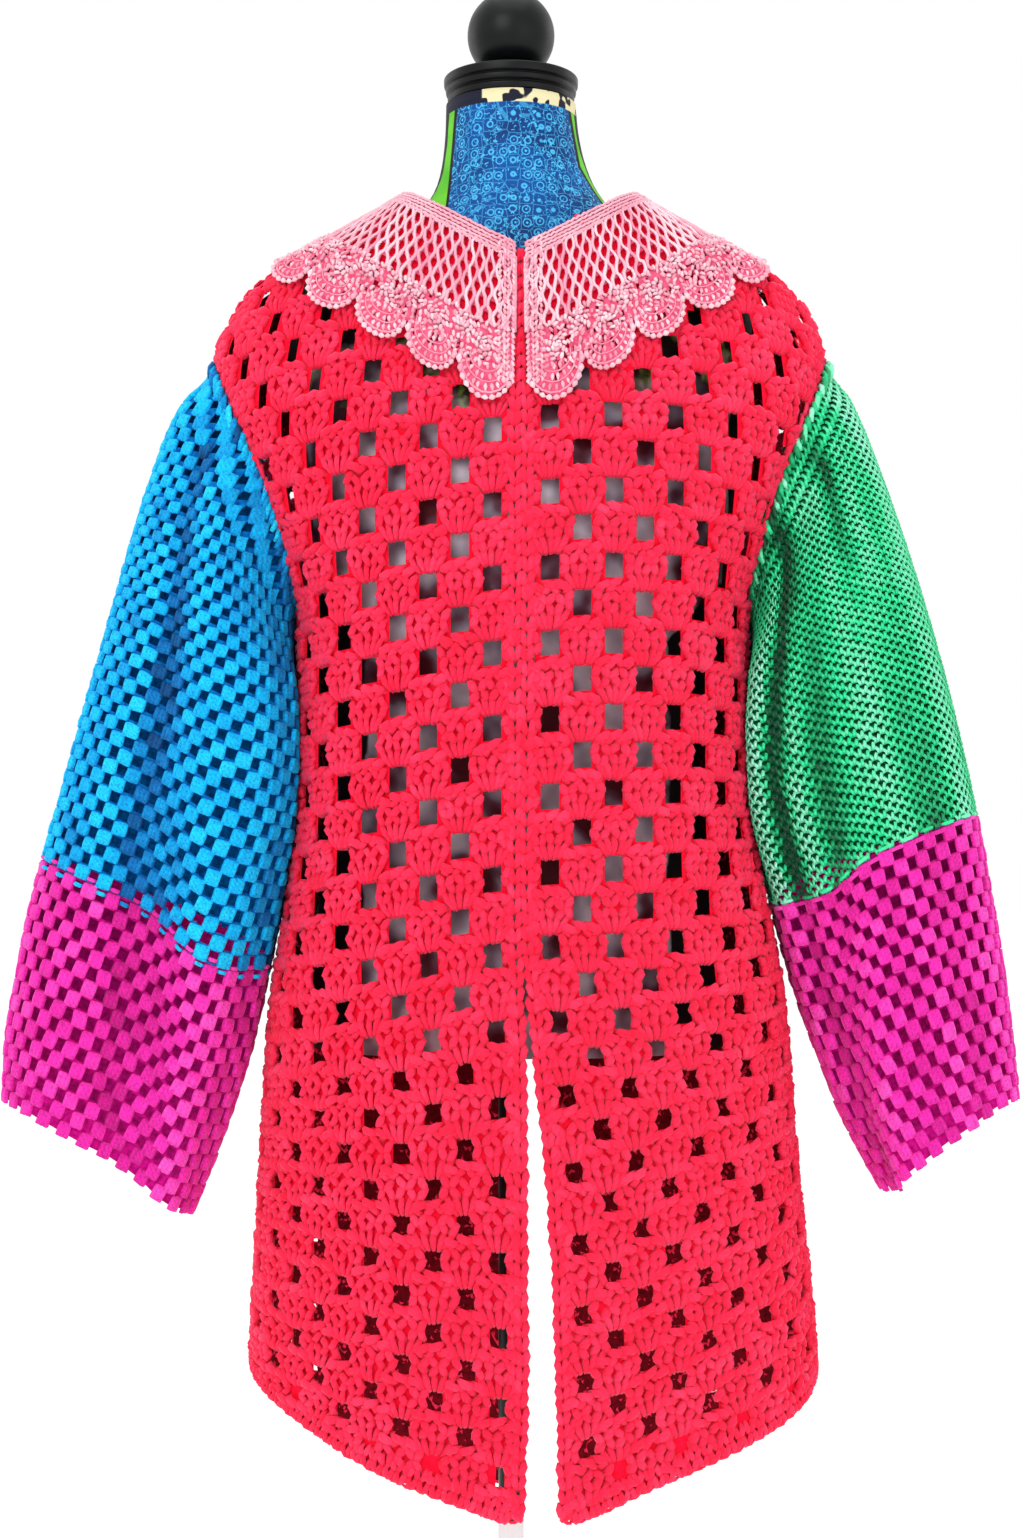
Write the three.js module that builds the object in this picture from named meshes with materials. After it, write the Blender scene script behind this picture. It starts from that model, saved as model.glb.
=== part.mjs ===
// A crocheted tunic jacket on a limbless dress form, in millimetres, +Z up, standing on z = 0.
// The wearer's right is at -X, the front faces -Y. The body is two fronts and two backs of chunky crochet,
// the sleeves are wide tubes in two lengths, and a scalloped lace collar lies on the shoulders.
// Every cloth piece is a wall on one smooth surface: the body is a stack of rings, each sleeve a row of slanted rings.
import * as THREE from "three";

// ---- driving dimensions -------------------------------------------------------------------------
const BODY_WALL = 6; // chunky crochet of the fronts and backs
const SLEEVE_WALL = 3; // filet crochet of the sleeves
const COLLAR_WALL = 2; // fine lace of the collar
const SEAM_GAP = 0.3; // between pieces that meet at a seam
const GARMENT_X = 7; // the jacket hangs this far to +X of the form's axis
const BODY_EXP = 2.3; // superellipse exponent of the body's rings
const SIDE_EXP = 2.3;

const UNDERARM_Z = 1126; // lowest point of the armhole
const SHOULDER_Z = 1318; // highest point of the armhole
const ARMHOLE_HALF_DEPTH = 50; // front to back
const NECK_FRONT_Z = 1388; // centre front of the neckline
const NECK_BACK_Z = 1422;
const NECK_SIDE_Z = 1436;
const NECK_HALF_WIDTH = 88;
const FRONT_POINT_Z = 450; // the fronts' lowest points, beside the opening
const BACK_POINT_Z = 402; // the backs hang a little longer
const SIDE_HEM_Z = 548; // hem at the side seams
const FRONT_HEM_BOW = 1; // the fronts' hem runs straight from point to side
const BACK_HEM_BOW = 1.65; // the backs' hem bows downwards between them
const CLOSED_ABOVE_Z = 880; // the fronts meet above this height and part below it

// The body's rings: half-widths to the wearer's right and left, depths to the front and back of the axis.
const BODY_RINGS = [
  { z: 380, right: 213, left: 231, front: 128, back: 128 },
  { z: 530, right: 207, left: 226, front: 126, back: 124 },
  { z: 700, right: 198, left: 210, front: 122, back: 118 },
  { z: 820, right: 190, left: 201, front: 120, back: 113 },
  { z: 900, right: 178, left: 187, front: 119, back: 110 },
  { z: 976, right: 170, left: 174, front: 120, back: 108 },
  { z: 1110, right: 169, left: 173, front: 125, back: 108 },
  { z: 1180, right: 189, left: 192, front: 127, back: 109 },
  { z: 1226, right: 208, left: 210, front: 124, back: 109 },
  { z: 1265, right: 224, left: 226, front: 117, back: 107 },
  { z: 1300, right: 232, left: 233, front: 106, back: 103 },
  { z: 1318, right: 233, left: 233, front: 100, back: 100 },
  { z: 1335, right: 228, left: 228, front: 94, back: 95 },
  { z: 1352, right: 220, left: 220, front: 88, back: 89 },
  { z: 1366, right: 211, left: 211, front: 84, back: 84 },
  { z: 1378, right: 198, left: 198, front: 81, back: 80 },
  { z: 1387, right: 181, left: 181, front: 79, back: 78 },
  { z: 1396, right: 161, left: 161, front: 77, back: 76 },
  { z: 1410, right: 135, left: 135, front: 75, back: 73 },
  { z: 1423, right: 111, left: 111, front: 73, back: 71 },
  { z: 1436, right: 88, left: 88, front: 71, back: 69 },
];
// Soft folds of the body: angle from centre front (degrees, + to +X), height where it starts and is full, depth (+ stands out).
const BODY_FOLDS = [
  { at: -64, width: 13, starts: 1040, full: 620, depth: -7 },
  { at: -36, width: 11, starts: 900, full: 520, depth: 4 },
  { at: 41, width: 12, starts: 940, full: 540, depth: -5 },
  { at: 70, width: 12, starts: 1000, full: 600, depth: 6 },
  { at: 118, width: 12, starts: 1060, full: 600, depth: -8 },
  { at: 146, width: 12, starts: 960, full: 520, depth: 9 },
  { at: -128, width: 13, starts: 1020, full: 560, depth: 8 },
  { at: -156, width: 10, starts: 900, full: 520, depth: -7 },
];
// Where the front edges and the back vent's edges run, from the jacket's centre line.
const EDGES = [
  { z: 400, frontRight: 0, frontLeft: 27, backRight: 2, backLeft: 42 },
  { z: 470, frontRight: 2, frontLeft: 28, backRight: 3, backLeft: 40 },
  { z: 560, frontRight: 5, frontLeft: 26, backRight: 3, backLeft: 36 },
  { z: 660, frontRight: 4, frontLeft: 22, backRight: 2, backLeft: 29 },
  { z: 740, frontRight: 4, frontLeft: 15, backRight: 1.5, backLeft: 19 },
  { z: 800, frontRight: 3, frontLeft: 9, backRight: 1, backLeft: 10 },
  { z: 850, frontRight: 1.2, frontLeft: 3.6, backRight: 0.5, backLeft: 3 },
  { z: 880, frontRight: 0, frontLeft: 0.6, backRight: 0, backLeft: 0.6 },
  { z: 1450, frontRight: 0, frontLeft: 0.6, backRight: 0, backLeft: 0.6 },
];

// Sleeves. Each ring runs from a point on the outer line to one on the inner line, from the jacket's centre,
// with its depth to the front and back. "at" is the share of the sleeve's length, from the shoulder.
const SLEEVE_RIGHT = [
  { at: 0.0, outX: 238, outZ: 1317, inX: 175, inZ: 1127, front: 53, back: 53, y: 0 },
  { at: 0.08, outX: 268, outZ: 1272, inX: 168, inZ: 1085, front: 66, back: 60, y: 0 },
  { at: 0.2, outX: 293, outZ: 1203, inX: 154, inZ: 1045, front: 80, back: 68, y: -1 },
  { at: 0.33, outX: 314, outZ: 1129, inX: 148, inZ: 1004, front: 84, back: 70, y: -2 },
  { at: 0.45, outX: 335, outZ: 1055, inX: 152, inZ: 962, front: 80, back: 68, y: -3 },
  { at: 0.57, outX: 354, outZ: 986, inX: 170, inZ: 908, front: 70, back: 62, y: -4 },
  { at: 0.68, outX: 370, outZ: 930, inX: 190, inZ: 849, front: 62, back: 58, y: -4 },
  { at: 0.76, outX: 381, outZ: 886, inX: 204, inZ: 800, front: 60, back: 57, y: -4 },
  { at: 0.84, outX: 390, outZ: 838, inX: 220, inZ: 752, front: 60, back: 56, y: -4 },
  { at: 0.92, outX: 398, outZ: 789, inX: 238, inZ: 702, front: 61, back: 57, y: -4 },
  { at: 1.0, outX: 400, outZ: 741, inX: 257, inZ: 655, front: 62, back: 58, y: -4 },
];
const SLEEVE_LEFT = [
  { at: 0.0, outX: 238, outZ: 1317, inX: 178, inZ: 1127, front: 53, back: 53, y: 0 },
  { at: 0.08, outX: 260, outZ: 1276, inX: 171, inZ: 1088, front: 66, back: 60, y: 0 },
  { at: 0.19, outX: 285, outZ: 1210, inX: 158, inZ: 1052, front: 80, back: 68, y: -1 },
  { at: 0.31, outX: 308, outZ: 1140, inX: 153, inZ: 1016, front: 84, back: 70, y: -2 },
  { at: 0.42, outX: 327, outZ: 1074, inX: 157, inZ: 979, front: 82, back: 70, y: -3 },
  { at: 0.52, outX: 342, outZ: 1013, inX: 172, inZ: 938, front: 76, back: 67, y: -4 },
  { at: 0.61, outX: 353, outZ: 962, inX: 190, inZ: 896, front: 70, back: 64, y: -4 },
  { at: 0.71, outX: 363, outZ: 905, inX: 208, inZ: 842, front: 67, back: 62, y: -4 },
  { at: 0.81, outX: 372, outZ: 850, inX: 229, inZ: 785, front: 67, back: 62, y: -4 },
  { at: 0.9, outX: 379, outZ: 795, inX: 252, inZ: 725, front: 68, back: 64, y: -4 },
  { at: 1.0, outX: 384, outZ: 741, inX: 281, inZ: 668, front: 68, back: 66, y: -4 },
];
const JOIN_RIGHT = 0.68, // where the upper length meets the lower one
  JOIN_LEFT = 0.61;
const SLEEVE_LENGTH = 640;
// Sleeve folds: place round the tube (0 outer line, 0.25 front, 0.5 inner line, 0.75 back) at the shoulder, elbow and cuff,
// half-width round the tube, and depth at the shoulder, elbow and cuff (+ stands out). A step rises from one side to the other.
const FOLDS_RIGHT = [
  { kind: "step", top: 0.19, mid: 0.25, low: 0.36, width: 0.026, shoulder: 4, elbow: 10, cuff: 9 },
  { kind: "ridge", top: 0.12, mid: 0.1, low: 0.1, width: 0.05, shoulder: -6, elbow: -4, cuff: -2 },
  { kind: "ridge", top: 0.16, mid: 0.205, low: 0.28, width: 0.026, shoulder: -6, elbow: -7, cuff: -6 },
  { kind: "ridge", top: 0.34, mid: 0.39, low: 0.44, width: 0.045, shoulder: -7, elbow: -9, cuff: -4 },
  { kind: "ridge", top: 0.62, mid: 0.61, low: 0.6, width: 0.045, shoulder: -4, elbow: -8, cuff: -6 },
  { kind: "ridge", top: 0.72, mid: 0.73, low: 0.74, width: 0.035, shoulder: 5, elbow: 7, cuff: 5 },
  { kind: "ridge", top: 0.82, mid: 0.84, low: 0.85, width: 0.04, shoulder: -5, elbow: -9, cuff: -7 },
];
const FOLDS_LEFT = [
  { kind: "step", top: 0.22, mid: 0.275, low: 0.4, width: 0.026, shoulder: -2, elbow: -7, cuff: -12 },
  { kind: "ridge", top: 0.19, mid: 0.23, low: 0.24, width: 0.024, shoulder: -6, elbow: 3, cuff: 4 },
  { kind: "ridge", top: 0.28, mid: 0.37, low: 0.46, width: 0.03, shoulder: -8, elbow: -9, cuff: -3 },
  { kind: "ridge", top: 0.1, mid: 0.12, low: 0.13, width: 0.04, shoulder: 4, elbow: 4, cuff: 3 },
  { kind: "ridge", top: 0.61, mid: 0.62, low: 0.63, width: 0.04, shoulder: -4, elbow: -7, cuff: -8 },
  { kind: "ridge", top: 0.72, mid: 0.72, low: 0.72, width: 0.035, shoulder: 4, elbow: 7, cuff: 6 },
  { kind: "ridge", top: 0.83, mid: 0.82, low: 0.82, width: 0.04, shoulder: -5, elbow: -9, cuff: -8 },
];
// How far each sleeve's front hangs above (+) or below (-) a flat cut across it, on the outer and inner sides of its main fold.
const HANG_RIGHT = [
  { at: 0, outer: 0, inner: 0 },
  { at: 0.35, outer: 0, inner: -9 },
  { at: 0.68, outer: 4, inner: -18 },
  { at: 1, outer: 15, inner: 6 },
];
const HANG_LEFT = [
  { at: 0, outer: 0, inner: 0 },
  { at: 0.3, outer: 4, inner: -4 },
  { at: 0.61, outer: 11, inner: -9 },
  { at: 1, outer: 22, inner: -2 },
];

// Collar: heights of the outer edge on the body, at centre front, shoulder line and centre back.
const COLLAR_EDGE = [
  { at: 0, z: 1271 },
  { at: 12, z: 1275 },
  { at: 28, z: 1294 },
  { at: 44, z: 1317 },
  { at: 58, z: 1340 },
  { at: 68, z: 1357 },
  { at: 78, z: 1377 },
  { at: 90, z: 1390 },
  { at: 105, z: 1373 },
  { at: 122, z: 1346 },
  { at: 140, z: 1326 },
  { at: 160, z: 1314 },
  { at: 180, z: 1310 },
];
const COLLAR_SCALLOPS = 22;
const COLLAR_SCALLOP_REACH = 0.075; // of the collar's width
const COLLAR_LIFT = BODY_WALL / 2 + 2.4 + COLLAR_WALL / 2;
const COLLAR_OPENING = 2.2; // half the gap between its ends at the neck, in degrees of the ring

// ---- dress form ---------------------------------------------------------------------------------
const FORM_RINGS = [
  { z: 786, x: 5, half: 159, front: 98, back: 98 },
  { z: 800, x: 5, half: 164, front: 103, back: 103 },
  { z: 850, x: 5, half: 163, front: 105, back: 104 },
  { z: 915, x: 5, half: 151, front: 100, back: 96 },
  { z: 985, x: 5, half: 140, front: 92, back: 86 },
  { z: 1060, x: 5, half: 148, front: 102, back: 92 },
  { z: 1130, x: 5, half: 157, front: 113, back: 97 },
  { z: 1180, x: 5, half: 163, front: 117, back: 99 },
  { z: 1226, x: 5, half: 170, front: 114, back: 99 },
  { z: 1280, x: 5, half: 178, front: 103, back: 95 },
  { z: 1318, x: 5, half: 182, front: 91, back: 90 },
  { z: 1345, x: 5, half: 183, front: 82, back: 83 },
  { z: 1362, x: 5, half: 181, front: 76, back: 78 },
  { z: 1376, x: 5, half: 173, front: 73, back: 74 },
  { z: 1386, x: 5, half: 160, front: 70, back: 69 },
  { z: 1395, x: 5, half: 143, front: 68, back: 66 },
  { z: 1408, x: 5, half: 116, front: 66, back: 62 },
  { z: 1421, x: 5, half: 93, front: 64, back: 59 },
  { z: 1433, x: 4.5, half: 76, front: 61, back: 57 },
  { z: 1445, x: 4, half: 66, front: 58, back: 55.5 },
  { z: 1460, x: 3, half: 59, front: 56, back: 55 },
  { z: 1480, x: 1.5, half: 54, front: 53, back: 53 },
  { z: 1500, x: 0.5, half: 51.5, front: 51.5, back: 51.5 },
  { z: 1517, x: 0, half: 50.6, front: 50.6, back: 50.6 },
];
const CAP_PROFILE = [
  { r: 0, z: 1517.4 },
  { r: 47.5, z: 1517.4 },
  { r: 48.8, z: 1518.6 },
  { r: 49.6, z: 1522.4 },
  { r: 47.9, z: 1524 },
  { r: 50.6, z: 1525.6 },
  { r: 51, z: 1529 },
  { r: 49.6, z: 1530.2 },
  { r: 52.2, z: 1531.6 },
  { r: 52.4, z: 1536.8 },
  { r: 51.6, z: 1537.8 },
  { r: 30.6, z: 1538.2 },
  { r: 30.2, z: 1543.6 },
  { r: 28, z: 1545 },
  { r: 0, z: 1545 },
];
const BALL_R = 34,
  BALL_Z = 1572,
  BALL_SEAT_Z = 1545.4;
const POLE_R = 10,
  POLE_LOW_Z = 30.3,
  POLE_TOP_Z = 785.6;
const BASE_PROFILE = [
  { r: 0, z: 0 },
  { r: 176, z: 0 },
  { r: 180, z: 3 },
  { r: 180, z: 14 },
  { r: 172, z: 19 },
  { r: 60, z: 24 },
  { r: 34, z: 30 },
  { r: 0, z: 30 },
];

// ---- smooth tables ------------------------------------------------------------------------------
// Monotone cubic through a table's rows: key column, value column.
function curve(rows, key, value) {
  const x = rows.map((r) => r[key]),
    y = rows.map((r) => r[value]),
    n = x.length;
  const d = x.slice(1).map((v, i) => (y[i + 1] - y[i]) / (v - x[i]));
  const m = x.map((_, i) => {
    if (i === 0) return d[0];
    if (i === n - 1) return d[n - 2];
    return d[i - 1] * d[i] <= 0 ? 0 : (2 * d[i - 1] * d[i]) / (d[i - 1] + d[i]);
  });
  return (q) => {
    if (q <= x[0]) return y[0] + m[0] * (q - x[0]) * 0;
    if (q >= x[n - 1]) return y[n - 1];
    let i = 0;
    while (q > x[i + 1]) i++;
    const h = x[i + 1] - x[i],
      t = (q - x[i]) / h;
    return (
      y[i] * (1 + 2 * t) * (1 - t) ** 2 +
      m[i] * h * t * (1 - t) ** 2 +
      y[i + 1] * t * t * (3 - 2 * t) +
      m[i + 1] * h * t * t * (t - 1)
    );
  };
}
const smooth = (t) => {
  const c = Math.min(1, Math.max(0, t));
  return c * c * (3 - 2 * c);
};
const bell = (t) => Math.exp(-t * t);
const deg = (a) => (a * Math.PI) / 180;

// ---- body surface -------------------------------------------------------------------------------
const ring = Object.fromEntries(
  ["right", "left", "front", "back"].map((k) => [k, curve(BODY_RINGS, "z", k)]),
);
const edge = Object.fromEntries(
  ["frontRight", "frontLeft", "backRight", "backLeft"].map((k) => [
    k,
    curve(EDGES, "z", k),
  ]),
);
function bodyFold(angle, z) {
  let d = 0;
  for (const f of BODY_FOLDS) {
    let a = angle - deg(f.at);
    a -= 2 * Math.PI * Math.round(a / (2 * Math.PI));
    d += f.depth * bell(a / deg(f.width)) * smooth((f.starts - z) / (f.starts - f.full));
  }
  return d;
}
// A point of the body's mid-surface. angle is 0 at centre front, + towards +X, pi at centre back.
function bodyPoint(angle, z) {
  const s = Math.sin(angle),
    c = Math.cos(angle);
  const a = s < 0 ? ring.right(z) : ring.left(z),
    b = c > 0 ? ring.front(z) : ring.back(z);
  const r =
    (Math.abs(s / a) ** BODY_EXP + Math.abs(c / b) ** BODY_EXP) ** (-1 / BODY_EXP) +
    bodyFold(angle, z);
  return new THREE.Vector3(GARMENT_X + r * s, -r * c, z);
}
// The body's outward normal there.
function bodyNormal(angle, z) {
  const e = 0.01,
    across = bodyPoint(angle + e, z).sub(bodyPoint(angle - e, z)),
    up = bodyPoint(angle, z + 2).sub(bodyPoint(angle, z - 2));
  return across.cross(up).normalize();
}
// Half-width of the body surface at a depth y and height z, on one side (-1 the wearer's right).
function bodyHalf(side, y, z) {
  const a = side < 0 ? ring.right(z) : ring.left(z),
    b = y < 0 ? ring.front(z) : ring.back(z);
  const q = Math.min(0.98, Math.abs(y) / b);
  return a * (1 - q ** SIDE_EXP) ** (1 / SIDE_EXP);
}
// The angle where the ring at z has a given x (front or back half), or a given depth y.
function solve(f, lo, hi) {
  for (let i = 0; i < 50; i++) {
    const mid = (lo + hi) / 2;
    if (f(mid) > 0) hi = mid;
    else lo = mid;
  }
  return (lo + hi) / 2;
}
const QUARTER = Math.PI / 2;
function armholeDepth(z, grow = 0) {
  const half = (SHOULDER_Z - UNDERARM_Z) / 2 + grow,
    q = (z - (SHOULDER_Z + UNDERARM_Z) / 2) / half;
  return Math.abs(q) >= 1 ? 0 : (ARMHOLE_HALF_DEPTH + grow) * Math.sqrt(1 - q * q);
}
// Angles from the centre line (0 front, pi back) where a panel starts and ends at height z. side is -1 or 1, back is true or false.
function panelStart(side, back, z) {
  let x = back
    ? side < 0
      ? -edge.backRight(z)
      : edge.backLeft(z)
    : side < 0
      ? edge.frontRight(z)
      : edge.frontLeft(z);
  if (back && side < 0) x = edge.backRight(z);
  // both right-hand pieces reach past the centre line, to +X
  const neck = back
    ? NECK_HALF_WIDTH * Math.sqrt(Math.max(0, (z - NECK_BACK_Z) / (NECK_SIDE_Z - NECK_BACK_Z)))
    : NECK_HALF_WIDTH * Math.max(0, (z - NECK_FRONT_Z) / (NECK_SIDE_Z - NECK_FRONT_Z));
  const want = neck > 1 ? side * Math.max(neck, 0.6) : x;
  // the angle whose point has that x
  const g = (t) => bodyPoint(back ? Math.PI - t : t, z).x - GARMENT_X - want;
  return solve(g, -QUARTER, QUARTER);
}
function panelEnd(side, back, z) {
  const depth = armholeDepth(z);
  const seam = SEAM_GAP / 2;
  const want = Math.max(depth, seam);
  const g = (t) => {
    const p = bodyPoint(back ? Math.PI - side * t : side * t, z);
    return back ? want - p.y : p.y + want;
  };
  return side * solve((t) => g(t), 0.2, QUARTER);
}
// Points of a panel along the ring at height z, evenly spaced from its centre edge to its side.
function panelRow(side, back, zOf, n) {
  const row = [];
  for (let i = 0; i <= n; i++) {
    const share = i / n,
      z = zOf(share);
    const a0 = panelStart(side, back, z),
      a1 = panelEnd(side, back, z);
    const steps = 60,
      pts = [],
      len = [0];
    for (let k = 0; k <= steps; k++) {
      const t = a0 + ((a1 - a0) * k) / steps;
      pts.push(bodyPoint(back ? Math.PI - t : t, z));
      if (k) len.push(len[k - 1] + pts[k].distanceTo(pts[k - 1]));
    }
    const want = share * len[steps];
    let k = 0;
    while (k < steps - 1 && len[k + 1] < want) k++;
    const f = (want - len[k]) / Math.max(1e-9, len[k + 1] - len[k]);
    const t = a0 + ((a1 - a0) * (k + f)) / steps,
      angle = back ? Math.PI - t : t;
    row.push({ p: bodyPoint(angle, z), n: bodyNormal(angle, z) });
  }
  return row;
}
const HEM_CORNER = 9; // the hem's corners beside the openings are rounded by this much
const hemHeight = (low, bow) => (share) =>
  low + (SIDE_HEM_Z - low) * share ** bow + HEM_CORNER * Math.max(0, 1 - share / 0.06) ** 2;
const BODY_LEVELS = [780, 880, 976, 1050, 1126, 1145, 1180, 1222, 1265, 1295, 1312, 1330, 1350, 1368, 1384];
const TOP_LEVELS = { front: [1388, 1400, 1412, 1423, 1430], back: [1396, 1409, 1422, 1431] };
function panelGrid(side, back, columns) {
  const low = back ? BACK_POINT_Z : FRONT_POINT_Z,
    hem = hemHeight(low, back ? BACK_HEM_BOW : FRONT_HEM_BOW),
    first = 700,
    rows = [];
  for (const t of [0, 0.25, 0.5, 0.75, 1])
    rows.push(panelRow(side, back, (s) => hem(s) + (first - hem(s)) * t, columns));
  for (const z of [...BODY_LEVELS, ...TOP_LEVELS[back ? "back" : "front"]])
    rows.push(panelRow(side, back, () => z, columns));
  return rows;
}

// ---- walls from grids ---------------------------------------------------------------------------
// rows[j][i] holds a point p of the mid-surface and its normal n; closed joins the last column to the first.
function wall(rows, thickness, { closed = false, lift = 0 } = {}) {
  const nj = rows.length,
    ni = rows[0].length;
  const position = [],
    index = [];
  const vertex = (j, i, side) => (side * nj + j) * ni + (closed ? (i + ni) % ni : i);
  for (const side of [1, -1])
    for (let j = 0; j < nj; j++)
      for (let i = 0; i < ni; i++) {
        const p = rows[j][i].p.clone().addScaledVector(rows[j][i].n, lift + (side * thickness) / 2);
        position.push(p.x, p.y, p.z);
      }
  const quad = (a, b, c, d) => index.push(a, b, c, a, c, d);
  const last = closed ? ni : ni - 1;
  for (let j = 0; j < nj - 1; j++)
    for (let i = 0; i < last; i++) {
      quad(vertex(j, i, 0), vertex(j, i + 1, 0), vertex(j + 1, i + 1, 0), vertex(j + 1, i, 0));
      quad(vertex(j, i, 1), vertex(j + 1, i, 1), vertex(j + 1, i + 1, 1), vertex(j, i + 1, 1));
    }
  for (let i = 0; i < last; i++) {
    quad(vertex(0, i, 1), vertex(0, i + 1, 1), vertex(0, i + 1, 0), vertex(0, i, 0));
    quad(vertex(nj - 1, i, 0), vertex(nj - 1, i + 1, 0), vertex(nj - 1, i + 1, 1), vertex(nj - 1, i, 1));
  }
  if (!closed)
    for (let j = 0; j < nj - 1; j++) {
      quad(vertex(j, 0, 0), vertex(j + 1, 0, 0), vertex(j + 1, 0, 1), vertex(j, 0, 1));
      quad(vertex(j, ni - 1, 1), vertex(j + 1, ni - 1, 1), vertex(j + 1, ni - 1, 0), vertex(j, ni - 1, 0));
    }
  return facingOut(position, index);
}
function facingOut(position, index) {
  let volume = 0;
  const v = (k) => new THREE.Vector3(position[3 * k], position[3 * k + 1], position[3 * k + 2]);
  for (let t = 0; t < index.length; t += 3)
    volume += v(index[t]).dot(v(index[t + 1]).cross(v(index[t + 2])));
  if (volume < 0)
    for (let t = 0; t < index.length; t += 3) [index[t + 1], index[t + 2]] = [index[t + 2], index[t + 1]];
  const g = new THREE.BufferGeometry();
  g.setAttribute("position", new THREE.Float32BufferAttribute(position, 3));
  g.setIndex(index);
  g.computeVertexNormals();
  return g;
}

// ---- sleeves ------------------------------------------------------------------------------------
const SLEEVE_CLEAR = BODY_WALL / 2 + 1 + SLEEVE_WALL / 2;
function sleeveCurves(rows, hang) {
  return Object.fromEntries([
    ...["outX", "outZ", "inX", "inZ", "front", "back", "y"].map((k) => [k, curve(rows, "at", k)]),
    ...["outer", "inner"].map((k) => [k, curve(hang, "at", k)]),
  ]);
}
function foldDepth(f, t) {
  return t < 0.5
    ? f.shoulder + (f.elbow - f.shoulder) * smooth(t / 0.5)
    : f.elbow + (f.cuff - f.elbow) * smooth((t - 0.5) / 0.5);
}
const foldPlace = (f, t) =>
  t < 0.5 ? f.top + (f.mid - f.top) * (t / 0.5) : f.mid + (f.low - f.mid) * ((t - 0.5) / 0.5) ** 1.3;
function wrap(u) {
  return u - Math.round(u);
}
// A point of the sleeve's mid-surface: u goes round it (0 outer line, 0.25 front), t along it (0 shoulder, 1 cuff).
function sleevePoint(side, f, folds, u, t) {
  const w = 2 * Math.PI * u;
  const raw = (v) => {
    const c = Math.cos(v),
      s = Math.sin(v),
      p = 2 / 2.25;
    const cc = Math.sign(c) * Math.abs(c) ** p,
      ss = Math.sign(s) * Math.abs(s) ** p;
    const cx = (f.outX(t) + f.inX(t)) / 2,
      cz = (f.outZ(t) + f.inZ(t)) / 2;
    const hx = (f.outX(t) - f.inX(t)) / 2,
      hz = (f.outZ(t) - f.inZ(t)) / 2;
    const d = s > 0 ? f.front(t) : f.back(t);
    return new THREE.Vector3(cx + hx * cc, f.y(t) - d * ss, cz + hz * cc);
  };
  const p = raw(w);
  const e = 0.02,
    tan = raw(w + e).sub(raw(w - e)).normalize();
  const axis = new THREE.Vector3(f.outZ(t) - f.inZ(t), 0, -(f.outX(t) - f.inX(t))).normalize();
  const out = new THREE.Vector3().crossVectors(axis, tan);
  if (out.dot(new THREE.Vector3().subVectors(p, new THREE.Vector3((f.outX(t) + f.inX(t)) / 2, f.y(t), (f.outZ(t) + f.inZ(t)) / 2))) < 0)
    out.negate();
  let d = 0;
  const enter = smooth(t / 0.08);
  for (const q of folds) {
    const x = wrap(u - foldPlace(q, t)) / q.width,
      amp = foldDepth(q, t) * enter;
    if (q.kind === "step") d += amp * Math.tanh(x) * bell(x / 4.5);
    else d += amp * bell(x);
  }
  p.addScaledVector(out, d);
  const main = folds[0],
    inner = 0.5 + 0.5 * Math.tanh(wrap(u - foldPlace(main, t)) / main.width);
  p.z += Math.max(0, Math.sin(w)) * (f.outer(t) * (1 - inner) + f.inner(t) * inner);
  // clear of the body
  const half = bodyHalf(side, p.y, p.z);
  const lean = 1 + 0.55 * Math.min(1, Math.abs(p.y) / 110) ** 2;
  const least = half + SLEEVE_CLEAR * lean + 1.6 * smooth(t / 0.1) + Math.max(0, sideFold(side, p.y, p.z));
  const soft = 6,
    past = (p.x - least) / soft; // a soft maximum of the two
  p.x = past > 12 ? p.x : least + soft * Math.log1p(Math.exp(past));
  if (t < 0.06) p.x = least + (p.x - least) * smooth(t / 0.06);
  return new THREE.Vector3(GARMENT_X + side * p.x, p.y, p.z);
}
function sideFold(side, y, z) {
  const angle = Math.atan2(side * bodyHalf(side, y, z), -y);
  return bodyFold(angle, z);
}
const CROWD = 0.6; // how much closer the grid's lines lie at the main fold
function sleeveGrid(side, table, hang, folds, around, along) {
  const f = sleeveCurves(table, hang),
    at = (u, t) => sleevePoint(side, f, folds, u, t);
  return along.map((t) =>
    Array.from({ length: around }, (_, i) => {
      const v = i / around,
        u = foldPlace(folds[0], t) + v - (CROWD * Math.sin(2 * Math.PI * v)) / (2 * Math.PI),
        e = 0.004;
      const round = at(u + e, t).sub(at(u - e, t)),
        down = at(u, Math.min(1, t + e)).sub(at(u, Math.max(0, t - e)));
      return { p: at(u, t), n: round.cross(down).normalize() };
    }),
  );
}
const span = (from, to, n) => Array.from({ length: n + 1 }, (_, i) => from + ((to - from) * i) / n);

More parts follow.
